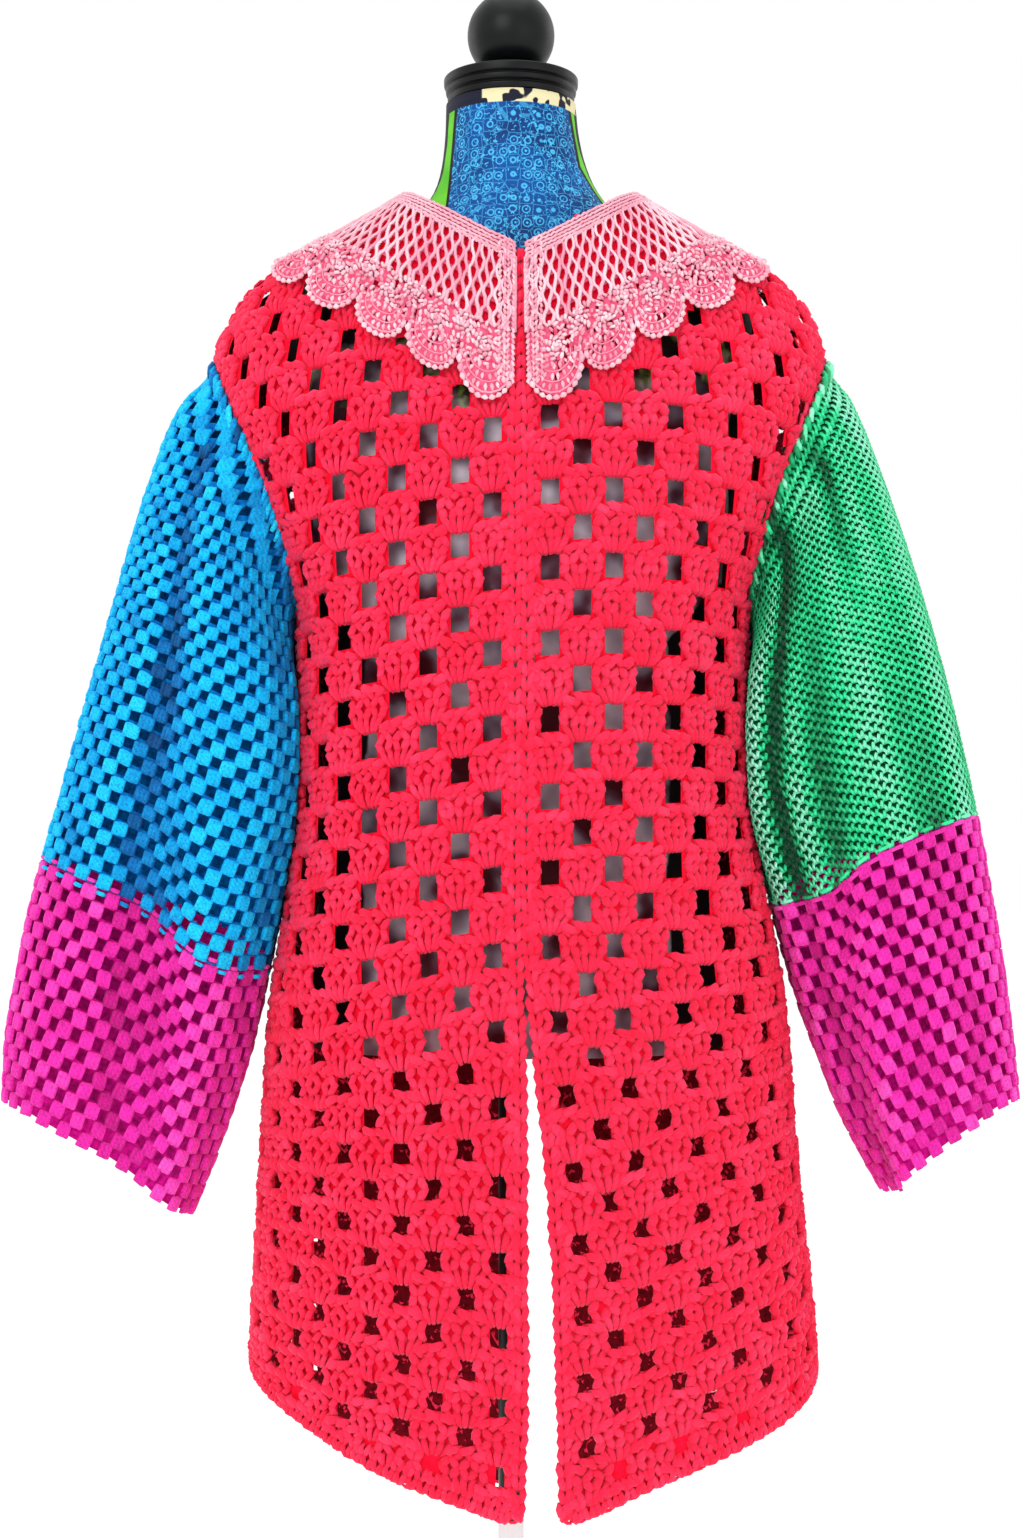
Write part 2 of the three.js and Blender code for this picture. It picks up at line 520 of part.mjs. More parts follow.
// ---- collar -------------------------------------------------------------------------------------
const collarLow = curve(COLLAR_EDGE, "at", "z");
function neckHeight(angle) {
  // the neckline's height at a ring angle, found where the ring at that height meets the neckline
  const a = Math.abs(angle);
  const back = a > QUARTER;
  const at = (z) => {
    const x = Math.abs(bodyPoint(angle, z).x - GARMENT_X);
    const n = back
      ? NECK_HALF_WIDTH * Math.sqrt(Math.max(0, (z - NECK_BACK_Z) / (NECK_SIDE_Z - NECK_BACK_Z)))
      : NECK_HALF_WIDTH * Math.max(0, (z - NECK_FRONT_Z) / (NECK_SIDE_Z - NECK_FRONT_Z));
    return n - x;
  };
  return solve(at, back ? NECK_BACK_Z : NECK_FRONT_Z, NECK_SIDE_Z);
}
function collarPoint(angle, share) {
  const top = neckHeight(angle) - 0.5,
    low = collarLow((Math.abs(angle) * 180) / Math.PI);
  const steps = 24,
    reach = Math.max(1, share);
  const pts = [],
    len = [0],
    end = low - (reach - 1) * (top - low);
  for (let k = 0; k <= steps; k++) {
    pts.push(bodyPoint(angle, top + ((end - top) * k) / steps));
    if (k) len.push(len[k - 1] + pts[k].distanceTo(pts[k - 1]));
  }
  const want = (share / reach) * len[steps];
  let k = 0;
  while (k < steps - 1 && len[k + 1] < want) k++;
  const f = (want - len[k]) / (len[k + 1] - len[k]);
  const z = top + ((end - top) * (k + f)) / steps;
  return { p: bodyPoint(angle, z), n: bodyNormal(angle, z) };
}
function collarAngles(n) {
  // angles that share the outer edge out evenly, from one front end round the back to the other
  const start = deg(COLLAR_OPENING),
    steps = 360,
    a = [],
    len = [0];
  let last;
  for (let k = 0; k <= steps; k++) {
    const t = start + ((2 * Math.PI - 2 * start) * k) / steps,
      w = t > Math.PI ? t - 2 * Math.PI : t;
    a.push(t);
    const { p } = collarPoint(w, 1);
    if (k) len.push(len[k - 1] + p.distanceTo(last));
    last = p;
  }
  return Array.from({ length: n + 1 }, (_, i) => {
    const want = (len[steps] * i) / n;
    let k = 0;
    while (k < steps - 1 && len[k + 1] < want) k++;
    const f = (want - len[k]) / (len[k + 1] - len[k]);
    const t = a[k] + (a[k + 1] - a[k]) * f;
    return t > Math.PI ? t - 2 * Math.PI : t;
  });
}
function collarGrid() {
  const per = 4,
    angles = collarAngles(COLLAR_SCALLOPS * per),
    rows = [];
  for (const s of [0, 0.17, 0.34, 0.52, 0.74, 1])
    rows.push(
      angles.map((a, i) => {
        const lobe = Math.sin((Math.PI * (i % per)) / per) ** 0.7;
        const reach = 1 + COLLAR_SCALLOP_REACH * lobe;
        return collarPoint(a, s === 1 ? reach : s);
      }),
    );
  return rows.reverse();
}

// ---- dress form ---------------------------------------------------------------------------------
function formGeometry() {
  const around = 40,
    position = [],
    index = [],
    n = FORM_RINGS.length;
  for (const r of FORM_RINGS)
    for (let i = 0; i < around; i++) {
      const a = (2 * Math.PI * i) / around,
        s = Math.sin(a),
        c = Math.cos(a),
        b = c > 0 ? r.front : r.back,
        e = r.z > 1440 ? 2 : r.z > 1395 ? 2.1 : 2.25;
      const q = (Math.abs(s / r.half) ** e + Math.abs(c / b) ** e) ** (-1 / e);
      position.push(r.x + q * s, -q * c, r.z);
    }
  for (let j = 0; j < n - 1; j++)
    for (let i = 0; i < around; i++) {
      const k = (i + 1) % around,
        a = j * around + i,
        b = j * around + k,
        c = (j + 1) * around + k,
        d = (j + 1) * around + i;
      index.push(a, b, c, a, c, d);
    }
  const low = position.length / 3;
  position.push(FORM_RINGS[0].x, 0, FORM_RINGS[0].z);
  position.push(FORM_RINGS[n - 1].x, 0, FORM_RINGS[n - 1].z);
  for (let i = 0; i < around; i++) {
    const k = (i + 1) % around;
    index.push(low, k, i);
    index.push(low + 1, (n - 1) * around + i, (n - 1) * around + k);
  }
  return facingOut(position, index);
}
function turned(profile, segments) {
  const g = new THREE.LatheGeometry(
    profile.map((p) => new THREE.Vector2(p.r, p.z)),
    segments,
  );
  g.rotateX(Math.PI / 2);
  return g;
}
function ballGeometry() {
  // a ball cut flat where it sits on the cap
  const steps = 12,
    low = Math.asin((BALL_SEAT_Z - BALL_Z) / BALL_R),
    profile = [{ r: 0, z: BALL_SEAT_Z }];
  for (let k = 0; k <= steps; k++) {
    const a = low + ((QUARTER - low) * k) / steps;
    profile.push({ r: k === steps ? 0 : BALL_R * Math.cos(a), z: BALL_Z + BALL_R * Math.sin(a) });
  }
  return turned(profile, 28);
}

// ---- the model ----------------------------------------------------------------------------------
const model = new THREE.Group();
const cloth = (color) => new THREE.MeshStandardMaterial({ color, roughness: 0.92, metalness: 0 });
const gloss = (color, roughness) => new THREE.MeshStandardMaterial({ color, roughness, metalness: 0 });
const RED = cloth(0xf0163f),
  BLUE = cloth(0x0a9be6),
  GREEN = cloth(0x35d28f),
  MAGENTA = cloth(0xf02bb4),
  PINK = cloth(0xf19db6),
  BLACK = gloss(0x141416, 0.3),
  FORM = gloss(0xb9b4be, 0.6);
function add(name, geometry, material) {
  const mesh = new THREE.Mesh(geometry, material);
  mesh.name = name;
  model.add(mesh);
}
const COLUMNS = 8;
add("front_right", wall(panelGrid(-1, false, COLUMNS), BODY_WALL), RED);
add("front_left", wall(panelGrid(1, false, COLUMNS).map((r) => [...r].reverse()), BODY_WALL), RED);
add("back_right", wall(panelGrid(-1, true, COLUMNS), BODY_WALL), RED);
add("back_left", wall(panelGrid(1, true, COLUMNS).map((r) => [...r].reverse()), BODY_WALL), RED);
const AROUND = 36,
  HALF_GAP = SEAM_GAP / SLEEVE_LENGTH;
const NEAR_SHOULDER = [0, 0.03, 0.08, 0.15];
for (const [side, name, table, hang, folds, join, color] of [
  [-1, "right", SLEEVE_RIGHT, HANG_RIGHT, FOLDS_RIGHT, JOIN_RIGHT, BLUE],
  [1, "left", SLEEVE_LEFT, HANG_LEFT, FOLDS_LEFT, JOIN_LEFT, GREEN],
]) {
  const piece = (along) => wall(sleeveGrid(side, table, hang, folds, AROUND, along), SLEEVE_WALL, { closed: true });
  add("sleeve_upper_" + name, piece([...NEAR_SHOULDER, ...span(0.24, join - HALF_GAP, 5)]), color);
  add("sleeve_lower_" + name, piece(span(join + HALF_GAP, 1, 4)), MAGENTA);
}
add("collar", wall(collarGrid(), COLLAR_WALL, { lift: COLLAR_LIFT }), PINK);
add("form_torso", formGeometry(), FORM);
add("form_cap", turned(CAP_PROFILE, 40), BLACK);
add("form_finial", ballGeometry(), BLACK);
add("form_pole", turned([{ r: 0, z: POLE_LOW_Z }, { r: POLE_R, z: POLE_LOW_Z }, { r: POLE_R, z: POLE_TOP_Z }, { r: 0, z: POLE_TOP_Z }], 24), BLACK);
add("form_base", turned(BASE_PROFILE, 56), BLACK);

export default model;
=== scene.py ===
# Looks of a crocheted tunic jacket on a limbless dress form. Every strand of yarn is laid along the
# same surfaces that the CAD solids are walls of. Millimetres here, metres in Blender.
import math

import bpy
import numpy as np
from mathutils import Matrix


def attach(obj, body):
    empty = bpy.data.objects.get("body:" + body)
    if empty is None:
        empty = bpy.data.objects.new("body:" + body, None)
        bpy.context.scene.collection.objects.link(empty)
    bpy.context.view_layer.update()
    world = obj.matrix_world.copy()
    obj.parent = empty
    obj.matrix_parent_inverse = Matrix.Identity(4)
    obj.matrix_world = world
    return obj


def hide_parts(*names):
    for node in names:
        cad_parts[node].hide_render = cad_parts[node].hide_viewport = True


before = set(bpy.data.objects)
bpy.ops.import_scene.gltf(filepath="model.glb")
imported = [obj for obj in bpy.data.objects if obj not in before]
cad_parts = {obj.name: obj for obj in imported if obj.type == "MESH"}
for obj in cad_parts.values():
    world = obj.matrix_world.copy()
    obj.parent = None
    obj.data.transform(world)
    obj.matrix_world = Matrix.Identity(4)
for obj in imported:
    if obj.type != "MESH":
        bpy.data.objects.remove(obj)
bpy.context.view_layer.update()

MM = 0.001
rng = np.random.default_rng(20)

# ---- camera, light, floor ------------------------------------------------------------------------
scene = bpy.context.scene
cam_data = bpy.data.cameras.new("camera")
cam_data.lens, cam_data.sensor_width, cam_data.sensor_fit = 52.76, 36.0, "AUTO"
cam_data.clip_start, cam_data.clip_end = 0.05, 50.0
cam = bpy.data.objects.new("camera", cam_data)
scene.collection.objects.link(cam)
cam.location = (0.0, -1.76, 1.0)
cam.rotation_euler = (math.pi / 2, 0.0, 0.0)
scene.camera = cam
scene.view_settings.view_transform = "Standard"
scene.view_settings.look = "None"
scene.view_settings.exposure = 0.0
scene.view_settings.gamma = 1.0

world = bpy.data.worlds.new("studio")
scene.world = world
world.use_nodes = True
world.node_tree.nodes["Background"].inputs[0].default_value = (1.0, 1.0, 1.0, 1.0)
world.node_tree.nodes["Background"].inputs[1].default_value = 1.0


def area_light(name, at, towards, size, power, color=(1, 1, 1)):
    data = bpy.data.lights.new(name, "AREA")
    data.shape, data.size, data.size_y = "RECTANGLE", size[0], size[1]
    data.energy, data.color = power, color
    o = bpy.data.objects.new(name, data)
    scene.collection.objects.link(o)
    o.location = at
    d = np.array(towards, float) - np.array(at, float)
    from mathutils import Vector

    o.rotation_mode = "QUATERNION"
    o.rotation_quaternion = Vector(d).to_track_quat("-Z", "Y")
    return o


area_light("key", (-1.1, -2.6, 2.6), (0, 0, 1.0), (1.6, 1.6), 27)
area_light("fill", (1.7, -2.4, 1.5), (0, 0, 0.95), (1.8, 1.8), 7)
area_light("top", (0.0, -0.3, 3.4), (0, 0, 1.2), (1.8, 1.8), 11)
area_light("rim_left", (-2.3, 1.2, 1.9), (0, 0, 1.1), (1.2, 2.0), 6)
area_light("rim_right", (2.3, 1.2, 1.9), (0, 0, 1.1), (1.2, 2.0), 6)


# ---- small tools ---------------------------------------------------------------------------------
def mono(x, y):
    """Monotone cubic through a table."""
    x, y = np.asarray(x, float), np.asarray(y, float)
    d = np.diff(y) / np.diff(x)
    m = np.empty_like(y)
    m[0], m[-1] = d[0], d[-1]
    a, b = d[:-1], d[1:]
    m[1:-1] = np.where(a * b <= 0, 0, 2 * a * b / np.where(a + b == 0, 1, a + b))

    def f(q):
        q = np.clip(np.asarray(q, float), x[0], x[-1])
        i = np.clip(np.searchsorted(x, q, side="right") - 1, 0, len(x) - 2)
        h = x[i + 1] - x[i]
        t = (q - x[i]) / h
        return (
            y[i] * (1 + 2 * t) * (1 - t) ** 2
            + m[i] * h * t * (1 - t) ** 2
            + y[i + 1] * t * t * (3 - 2 * t)
            + m[i + 1] * h * t * t * (t - 1)
        )

    return f


def smooth(t):
    c = np.clip(t, 0, 1)
    return c * c * (3 - 2 * c)


def unit(v):
    return v / np.maximum(np.linalg.norm(v, axis=-1, keepdims=True), 1e-9)


class Chart:
    """A surface given as a grid of points: (a, b) in steps from (a0, b0) to a point and its outward normal."""

    def __init__(self, a, b, points, outward, wrap=False):
        self.a0, self.da, self.na = a[0], a[1] - a[0], len(a)
        self.b0, self.db, self.nb = b[0], b[1] - b[0], len(b)
        self.p, self.wrap = points, wrap
        if wrap:
            ga = (np.roll(points, -1, 0) - np.roll(points, 1, 0)) / 2
        else:
            ga = np.gradient(points, axis=0)
        gb = np.gradient(points, axis=1)
        n = unit(np.cross(ga, gb))
        flip = np.sign(np.sum(n * outward, axis=-1, keepdims=True))
        self.n = n * np.where(np.median(flip) < 0, -1.0, 1.0)

    def at(self, a, b):
        fa = (np.asarray(a, float) - self.a0) / self.da
        fb = np.clip((np.asarray(b, float) - self.b0) / self.db, 0, self.nb - 1.0001)
        if self.wrap:
            fa = np.mod(fa, self.na)
            i0 = np.floor(fa).astype(int) % self.na
            i1 = (i0 + 1) % self.na
            u = fa - np.floor(fa)
        else:
            fa = np.clip(fa, 0, self.na - 1.0001)
            i0 = fa.astype(int)
            i1 = i0 + 1
            u = fa - i0
        j0 = fb.astype(int)
        v = fb - j0
        u, v = u[..., None], v[..., None]

        def mix(g):
            return (g[i0, j0] * (1 - u) + g[i1, j0] * u) * (1 - v) + (
                g[i0, j0 + 1] * (1 - u) + g[i1, j0 + 1] * u
            ) * v

        return mix(self.p), unit(mix(self.n))

    def point(self, a, b, h):
        p, n = self.at(a, b)
        return p + n * np.asarray(h, float)[..., None], n


class Yarn:
    """Collects strands (polylines with a radius) and makes one mesh of them."""

    def __init__(self):
        self.parts = []

    def add(self, points, normals, radius, sides, flat=1.0, tone=None, twist=1.0):
        """points (M,K,3), normals (M,K,3), radius (M,K). flat squeezes the section along the normal."""
        m, k, _ = points.shape
        if m == 0:
            return
        t = np.gradient(points, axis=1)
        t = unit(t)
        b = unit(np.cross(t, normals))
        n = unit(np.cross(b, t))
        phi = 2 * math.pi * (np.arange(sides) + 0.25) / sides
        ring = (
            points[:, :, None, :]
            + radius[:, :, None, None]
            * (np.cos(phi)[None, None, :, None] * b[:, :, None, :] + flat * np.sin(phi)[None, None, :, None] * n[:, :, None, :])
        )
        base = np.arange(m)[:, None, None] * (k * sides)
        j = np.arange(k - 1)[None, :, None] * sides
        i = np.arange(sides)[None, None, :]
        i2 = (i + 1) % sides
        quads = np.stack(
            [base + j + i, base + j + i2, base + j + sides + i2, base + j + sides + i], axis=-1
        ).reshape(-1, 4)
        seg = np.linalg.norm(np.diff(points, axis=1), axis=-1)
        along = np.concatenate([np.zeros((m, 1)), np.cumsum(seg, axis=1)], axis=1)
        ua = np.broadcast_to((i / sides), (m, k - 1, sides))
        ub = ua + 1.0 / sides
        va = np.broadcast_to(along[:, :-1, None], (m, k - 1, sides))
        vb = np.broadcast_to(along[:, 1:, None], (m, k - 1, sides))
        uv = np.stack(
            [np.stack([ua, va * 0.1], -1), np.stack([ub, va * 0.1], -1), np.stack([ub, vb * 0.1], -1), np.stack([ua, vb * 0.1], -1)],
            axis=3,
        ).reshape(-1, 2)
        caps0 = (np.arange(m)[:, None] * (k * sides) + np.arange(sides)[::-1][None, :]).astype(int)
        caps1 = (np.arange(m)[:, None] * (k * sides) + (k - 1) * sides + np.arange(sides)[None, :]).astype(int)
        caps = np.concatenate([caps0, caps1], axis=0)
        if tone is None:
            tone = rng.uniform(0, 1, m)
        self.parts.append(
            dict(
                v=ring.reshape(-1, 3),
                q=quads,
                uv=uv,
                caps=caps,
                sides=sides,
                tone=np.repeat(tone, k * sides),
            )
        )

    def grid(self, points, outward, tone, uv):
        """points (M,A,B,3): raised patches over the cloth; outward (M,3); tone (M,A,B); uv (A,B,2)."""
        m, a, b, _ = points.shape
        if m == 0:
            return
        idx = np.arange(a * b).reshape(a, b)
        q = np.stack([idx[:-1, :-1], idx[1:, :-1], idx[1:, 1:], idx[:-1, 1:]], -1).reshape(-1, 4)
        i, j = a // 2, b // 2
        n = np.cross(points[:, i + 1, j] - points[:, i - 1, j], points[:, i, j + 1] - points[:, i, j - 1])
        if np.median(np.sum(n * outward, -1)) < 0:
            q = q[:, ::-1]
        quads = (np.arange(m)[:, None, None] * (a * b) + q[None]).reshape(-1, 4)
        uvq = uv.reshape(-1, 2)[q]
        self.parts.append(
            dict(
                v=points.reshape(-1, 3),
                q=quads,
                uv=np.broadcast_to(uvq[None], (m,) + uvq.shape).reshape(-1, 2),
                caps=np.zeros((0, 3), int),
                sides=3,
                tone=np.clip(tone, 0, 1).reshape(-1),
            )
        )

    def triangles(self):
        return sum(2 * len(p["q"]) + len(p["caps"]) * (p["sides"] - 2) for p in self.parts)

    def mesh(self, name, material):
        nv = 0
        verts, loops, starts, totals, uvs, tones = [], [], [], [], [], []
        nl = 0
        for p in self.parts:
            verts.append(p["v"])
            tones.append(p["tone"])
            q = p["q"] + nv
            loops.append(q.reshape(-1))
            starts.append(nl + 4 * np.arange(len(q)))
            totals.append(np.full(len(q), 4))
            nl += q.size
            uvs.append(p["uv"])
            c = p["caps"] + nv
            loops.append(c.reshape(-1))
            starts.append(nl + p["sides"] * np.arange(len(c)))
            totals.append(np.full(len(c), p["sides"]))
            nl += c.size
            cu = np.zeros((c.size, 2))
            cu[:, 0] = np.tile(np.arange(p["sides"]) / p["sides"], len(c))
            uvs.append(cu)
            nv += len(p["v"])
        verts = np.concatenate(verts) * MM
        loops = np.concatenate(loops).astype(np.int32)
        starts = np.concatenate(starts).astype(np.int32)
        totals = np.concatenate(totals).astype(np.int32)
        uvs = np.concatenate(uvs).astype(np.float32)
        mesh = bpy.data.meshes.new(name)
        mesh.vertices.add(len(verts))
        mesh.vertices.foreach_set("co", verts.astype(np.float32).ravel())
        mesh.loops.add(len(loops))
        mesh.loops.foreach_set("vertex_index", loops)
        mesh.polygons.add(len(starts))
        mesh.polygons.foreach_set("loop_start", starts)
        mesh.polygons.foreach_set("loop_total", totals)
        mesh.update(calc_edges=True)
        mesh.polygons.foreach_set("use_smooth", np.ones(len(starts), bool))
        layer = mesh.uv_layers.new(name="strand")
        layer.data.foreach_set("uv", uvs.ravel())
        att = mesh.attributes.new("tone", "FLOAT", "POINT")
        att.data.foreach_set("value", np.concatenate(tones).astype(np.float32))
        mesh.update()
        mesh.validate()
        o = bpy.data.objects.new(name, mesh)
        scene.collection.objects.link(o)
        mesh.materials.append(material)
        return o


def surface_mesh(name, points, faces, material, smooth_shading=True, uv=None):
    mesh = bpy.data.meshes.new(name)
    mesh.from_pydata((np.asarray(points) * MM).tolist(), [], [list(map(int, f)) for f in faces])
    mesh.validate()
    mesh.update()
    if smooth_shading:
        mesh.polygons.foreach_set("use_smooth", np.ones(len(mesh.polygons), bool))
    if uv is not None:
        layer = mesh.uv_layers.new(name="map")
        idx = np.zeros(len(mesh.loops), np.int32)
        mesh.loops.foreach_get("vertex_index", idx)
        layer.data.foreach_set("uv", np.asarray(uv, np.float32)[idx].ravel())
    mesh.materials.append(material)
    o = bpy.data.objects.new(name, mesh)
    scene.collection.objects.link(o)
    return o


# ---- materials -----------------------------------------------------------------------------------
def srgb(r, g, b):
    def f(c):
        c /= 255.0
        return c / 12.92 if c <= 0.04045 else ((c + 0.055) / 1.055) ** 2.4

    return (f(r), f(g), f(b), 1.0)


def new_material(name):
    m = bpy.data.materials.new(name)
    m.use_nodes = True
    n = m.node_tree.nodes
    for x in list(n):
        if x.type != "OUTPUT_MATERIAL":
            n.remove(x)
    bsdf = n.new("ShaderNodeBsdfPrincipled")
    m.node_tree.links.new(bsdf.outputs[0], n["Material Output"].inputs[0])
    return m, n, m.node_tree.links, bsdf


def ramp(nodes, stops):
    r = nodes.new("ShaderNodeValToRGB")
    el = r.color_ramp.elements
    while len(el) < len(stops):
        el.new(0.5)
    for e, (at, col) in zip(el, stops):
        e.position = at
        e.color = col
    return r


def yarn_material(name, low, mid, high, twist, turns, fuzz, bump, rough=0.85, sheen=0.35, sheen_tint=(1, 1, 1, 1), spec=0.25, gloss_coat=0.0, tone_share=0.45, patch_share=0.9, ply_groove_shade=0.82, body_shade_color=None, speck=0.0):
    """Yarn: colour varies between strands and in soft patches, and the tone attribute also carries painted light and
    shade; plies twist round each strand; fine fuzz.
    """
    m, n, l, bsdf = new_material(name)
    tone = n.new("ShaderNodeAttribute")
    tone.attribute_name = "tone"
    co = n.new("ShaderNodeTexCoord")
    patch = n.new("ShaderNodeTexNoise")
    patch.inputs["Scale"].default_value = 38.0
    patch.inputs["Detail"].default_value = 3.0
    l.new(co.outputs["Object"], patch.inputs["Vector"])
    mix = n.new("ShaderNodeMath")
    mix.operation = "MULTIPLY_ADD"
    mix.inputs[1].default_value = tone_share
    l.new(tone.outputs["Fac"], mix.inputs[0])
    half = n.new("ShaderNodeMath")
    half.operation = "MULTIPLY_ADD"
    half.inputs[1].default_value = patch_share
    half.inputs[2].default_value = 0.5 - 0.5 * (tone_share + patch_share)
    l.new(patch.outputs["Fac"], half.inputs[0])
    l.new(half.outputs[0], mix.inputs[2])
    # plies: painted shade in the grooves between the twisted plies
    uv = n.new("ShaderNodeUVMap")
    uv.uv_map = "strand"
    sep = n.new("ShaderNodeSeparateXYZ")
    l.new(uv.outputs[0], sep.inputs[0])
    k = n.new("ShaderNodeMath")
    k.operation = "MULTIPLY_ADD"
    k.inputs[1].default_value = twist
    l.new(sep.outputs["Y"], k.inputs[0])
    k2 = n.new("ShaderNodeMath")
    k2.operation = "MULTIPLY"
    k2.inputs[1].default_value = turns
    l.new(sep.outputs["X"], k2.inputs[0])
    l.new(k2.outputs[0], k.inputs[2])
    fr = n.new("ShaderNodeMath")
    fr.operation = "PINGPONG"
    fr.inputs[1].default_value = 0.5
    l.new(k.outputs[0], fr.inputs[0])
    # with a body shade colour, the ramp's lowest stop is painted shade where a sleeve lies against the body
    cr = ramp(n, [(0.0, low), (0.5, mid), (1.0, high)] if body_shade_color is None else [(0.0, body_shade_color), (0.2, low), (0.54, mid), (1.0, high)])
    l.new(mix.outputs[0], cr.inputs[0])
    groove = ramp(n, [(0.0, (ply_groove_shade, ply_groove_shade, ply_groove_shade, 1)), (0.35, (1, 1, 1, 1)), (1.0, (1, 1, 1, 1))])
    l.new(fr.outputs[0], groove.inputs[0])
    mul = n.new("ShaderNodeMix")
    mul.data_type = "RGBA"
    mul.blend_type = "MULTIPLY"
    mul.inputs[0].default_value = 0.8
    l.new(cr.outputs[0], mul.inputs[6])
    l.new(groove.outputs[0], mul.inputs[7])
    if speck:
        sn = n.new("ShaderNodeTexNoise")
        sn.inputs["Scale"].default_value = 620.0
        sn.inputs["Detail"].default_value = 2.0
        sn.inputs["Roughness"].default_value = 0.7
        l.new(co.outputs["Object"], sn.inputs["Vector"])
        a_, b_ = 1 - 1.6 * speck, 1 + 0.9 * speck
        sr = ramp(n, [(0.34, (a_, a_, a_, 1)), (0.5, (1.0, 1.0, 1.0, 1)), (0.66, (b_, b_, b_, 1))])
        l.new(sn.outputs["Fac"], sr.inputs[0])
        sm = n.new("ShaderNodeMix")
        sm.data_type = "RGBA"
        sm.blend_type = "MULTIPLY"
        sm.inputs[0].default_value = 1.0
        l.new(mul.outputs[2], sm.inputs[6])
        l.new(sr.outputs[0], sm.inputs[7])
        l.new(sm.outputs[2], bsdf.inputs["Base Color"])
    else:
        l.new(mul.outputs[2], bsdf.inputs["Base Color"])
    fz = n.new("ShaderNodeTexNoise")
    fz.inputs["Scale"].default_value = fuzz
    fz.inputs["Detail"].default_value = 4.0
    fz.inputs["Roughness"].default_value = 0.7
    l.new(co.outputs["Object"], fz.inputs["Vector"])
    hsum = n.new("ShaderNodeMath")
    hsum.operation = "MULTIPLY_ADD"
    hsum.inputs[1].default_value = 1.3
    l.new(fr.outputs[0], hsum.inputs[0])
    l.new(fz.outputs["Fac"], hsum.inputs[2])
    bp = n.new("ShaderNodeBump")
    bp.inputs["Strength"].default_value = bump
    bp.inputs["Distance"].default_value = 0.0006
    l.new(hsum.outputs[0], bp.inputs["Height"])
    l.new(bp.outputs[0], bsdf.inputs["Normal"])
    bsdf.inputs["Roughness"].default_value = rough
    bsdf.inputs["Specular IOR Level"].default_value = spec
    bsdf.inputs["Sheen Weight"].default_value = sheen
    bsdf.inputs["Sheen Roughness"].default_value = 0.45
    bsdf.inputs["Sheen Tint"].default_value = sheen_tint
    if gloss_coat:
        bsdf.inputs["Coat Weight"].default_value = gloss_coat
        bsdf.inputs["Coat Roughness"].default_value = 0.45
    return m


def core_material(name, color, dark):
    m, n, l, bsdf = new_material(name)
    co = n.new("ShaderNodeTexCoord")
    t = n.new("ShaderNodeTexNoise")
    t.inputs["Scale"].default_value = 260.0
    t.inputs["Detail"].default_value = 3.0
    l.new(co.outputs["Object"], t.inputs["Vector"])
    cr = ramp(n, [(0.3, dark), (0.7, color)])
    l.new(t.outputs["Fac"], cr.inputs[0])
    l.new(cr.outputs[0], bsdf.inputs["Base Color"])
    b = n.new("ShaderNodeBump")
    b.inputs["Strength"].default_value = 0.7
    b.inputs["Distance"].default_value = 0.0012
    l.new(t.outputs["Fac"], b.inputs["Height"])
    l.new(b.outputs[0], bsdf.inputs["Normal"])
    bsdf.inputs["Roughness"].default_value = 0.95
    bsdf.inputs["Specular IOR Level"].default_value = 0.1
    return m


RED = yarn_material("red_yarn", srgb(242, 14, 52), srgb(253, 36, 78), srgb(255, 64, 106), 2.2, 3.0, 900.0, 0.4, sheen=0.3, sheen_tint=srgb(255, 150, 180), ply_groove_shade=0.74)
RED_CORE = core_material("red_core", srgb(250, 20, 60), srgb(236, 8, 44))
# the backs' cloth is a much darker red than the fronts': painted shade for the inside of the back, seen through the
# front's holes
RED_CORE_BACK_SHADE = core_material("red_core_back_painted_shade", srgb(122, 6, 24), srgb(78, 2, 12))

# ---- body surface --------------------------------------------------------------------------------
GARMENT_X = 7.0
BODY_EXP = 2.3
UNDERARM_Z, SHOULDER_Z, ARMHOLE_HALF = 1126.0, 1318.0, 50.0
NECK_FRONT_Z, NECK_BACK_Z, NECK_SIDE_Z, NECK_HALF = 1388.0, 1422.0, 1436.0, 88.0
FRONT_POINT_Z, BACK_POINT_Z, SIDE_HEM_Z, HEM_CORNER = 450.0, 402.0, 548.0, 9.0
BODY_RINGS = np.array(
    [  # z, right, left, front, back
        (380, 213, 231, 128, 128),
        (530, 207, 226, 126, 124),
        (700, 198, 210, 122, 118),
        (820, 190, 201, 120, 113),
        (900, 178, 187, 119, 110),
        (976, 170, 174, 120, 108),
        (1110, 169, 173, 125, 108),
        (1180, 189, 192, 127, 109),
        (1226, 208, 210, 124, 109),
        (1265, 224, 226, 117, 107),
        (1300, 232, 233, 106, 103),
        (1318, 233, 233, 100, 100),
        (1335, 228, 228, 94, 95),
        (1352, 220, 220, 88, 89),
        (1366, 211, 211, 84, 84),
        (1378, 198, 198, 81, 80),
        (1387, 181, 181, 79, 78),
        (1396, 161, 161, 77, 76),
        (1410, 135, 135, 75, 73),
        (1423, 111, 111, 73, 71),
        (1436, 88, 88, 71, 69),
    ],
    float,
)
BODY_FOLDS = [  # at (deg), width, starts, full, depth
    (-64, 13, 1040, 620, -7),
    (-36, 11, 900, 520, 4),
    (41, 12, 940, 540, -5),
    (70, 12, 1000, 600, 6),
    (118, 12, 1060, 600, -8),
    (146, 12, 960, 520, 9),
    (-128, 13, 1020, 560, 8),
    (-156, 10, 900, 520, -7),
]
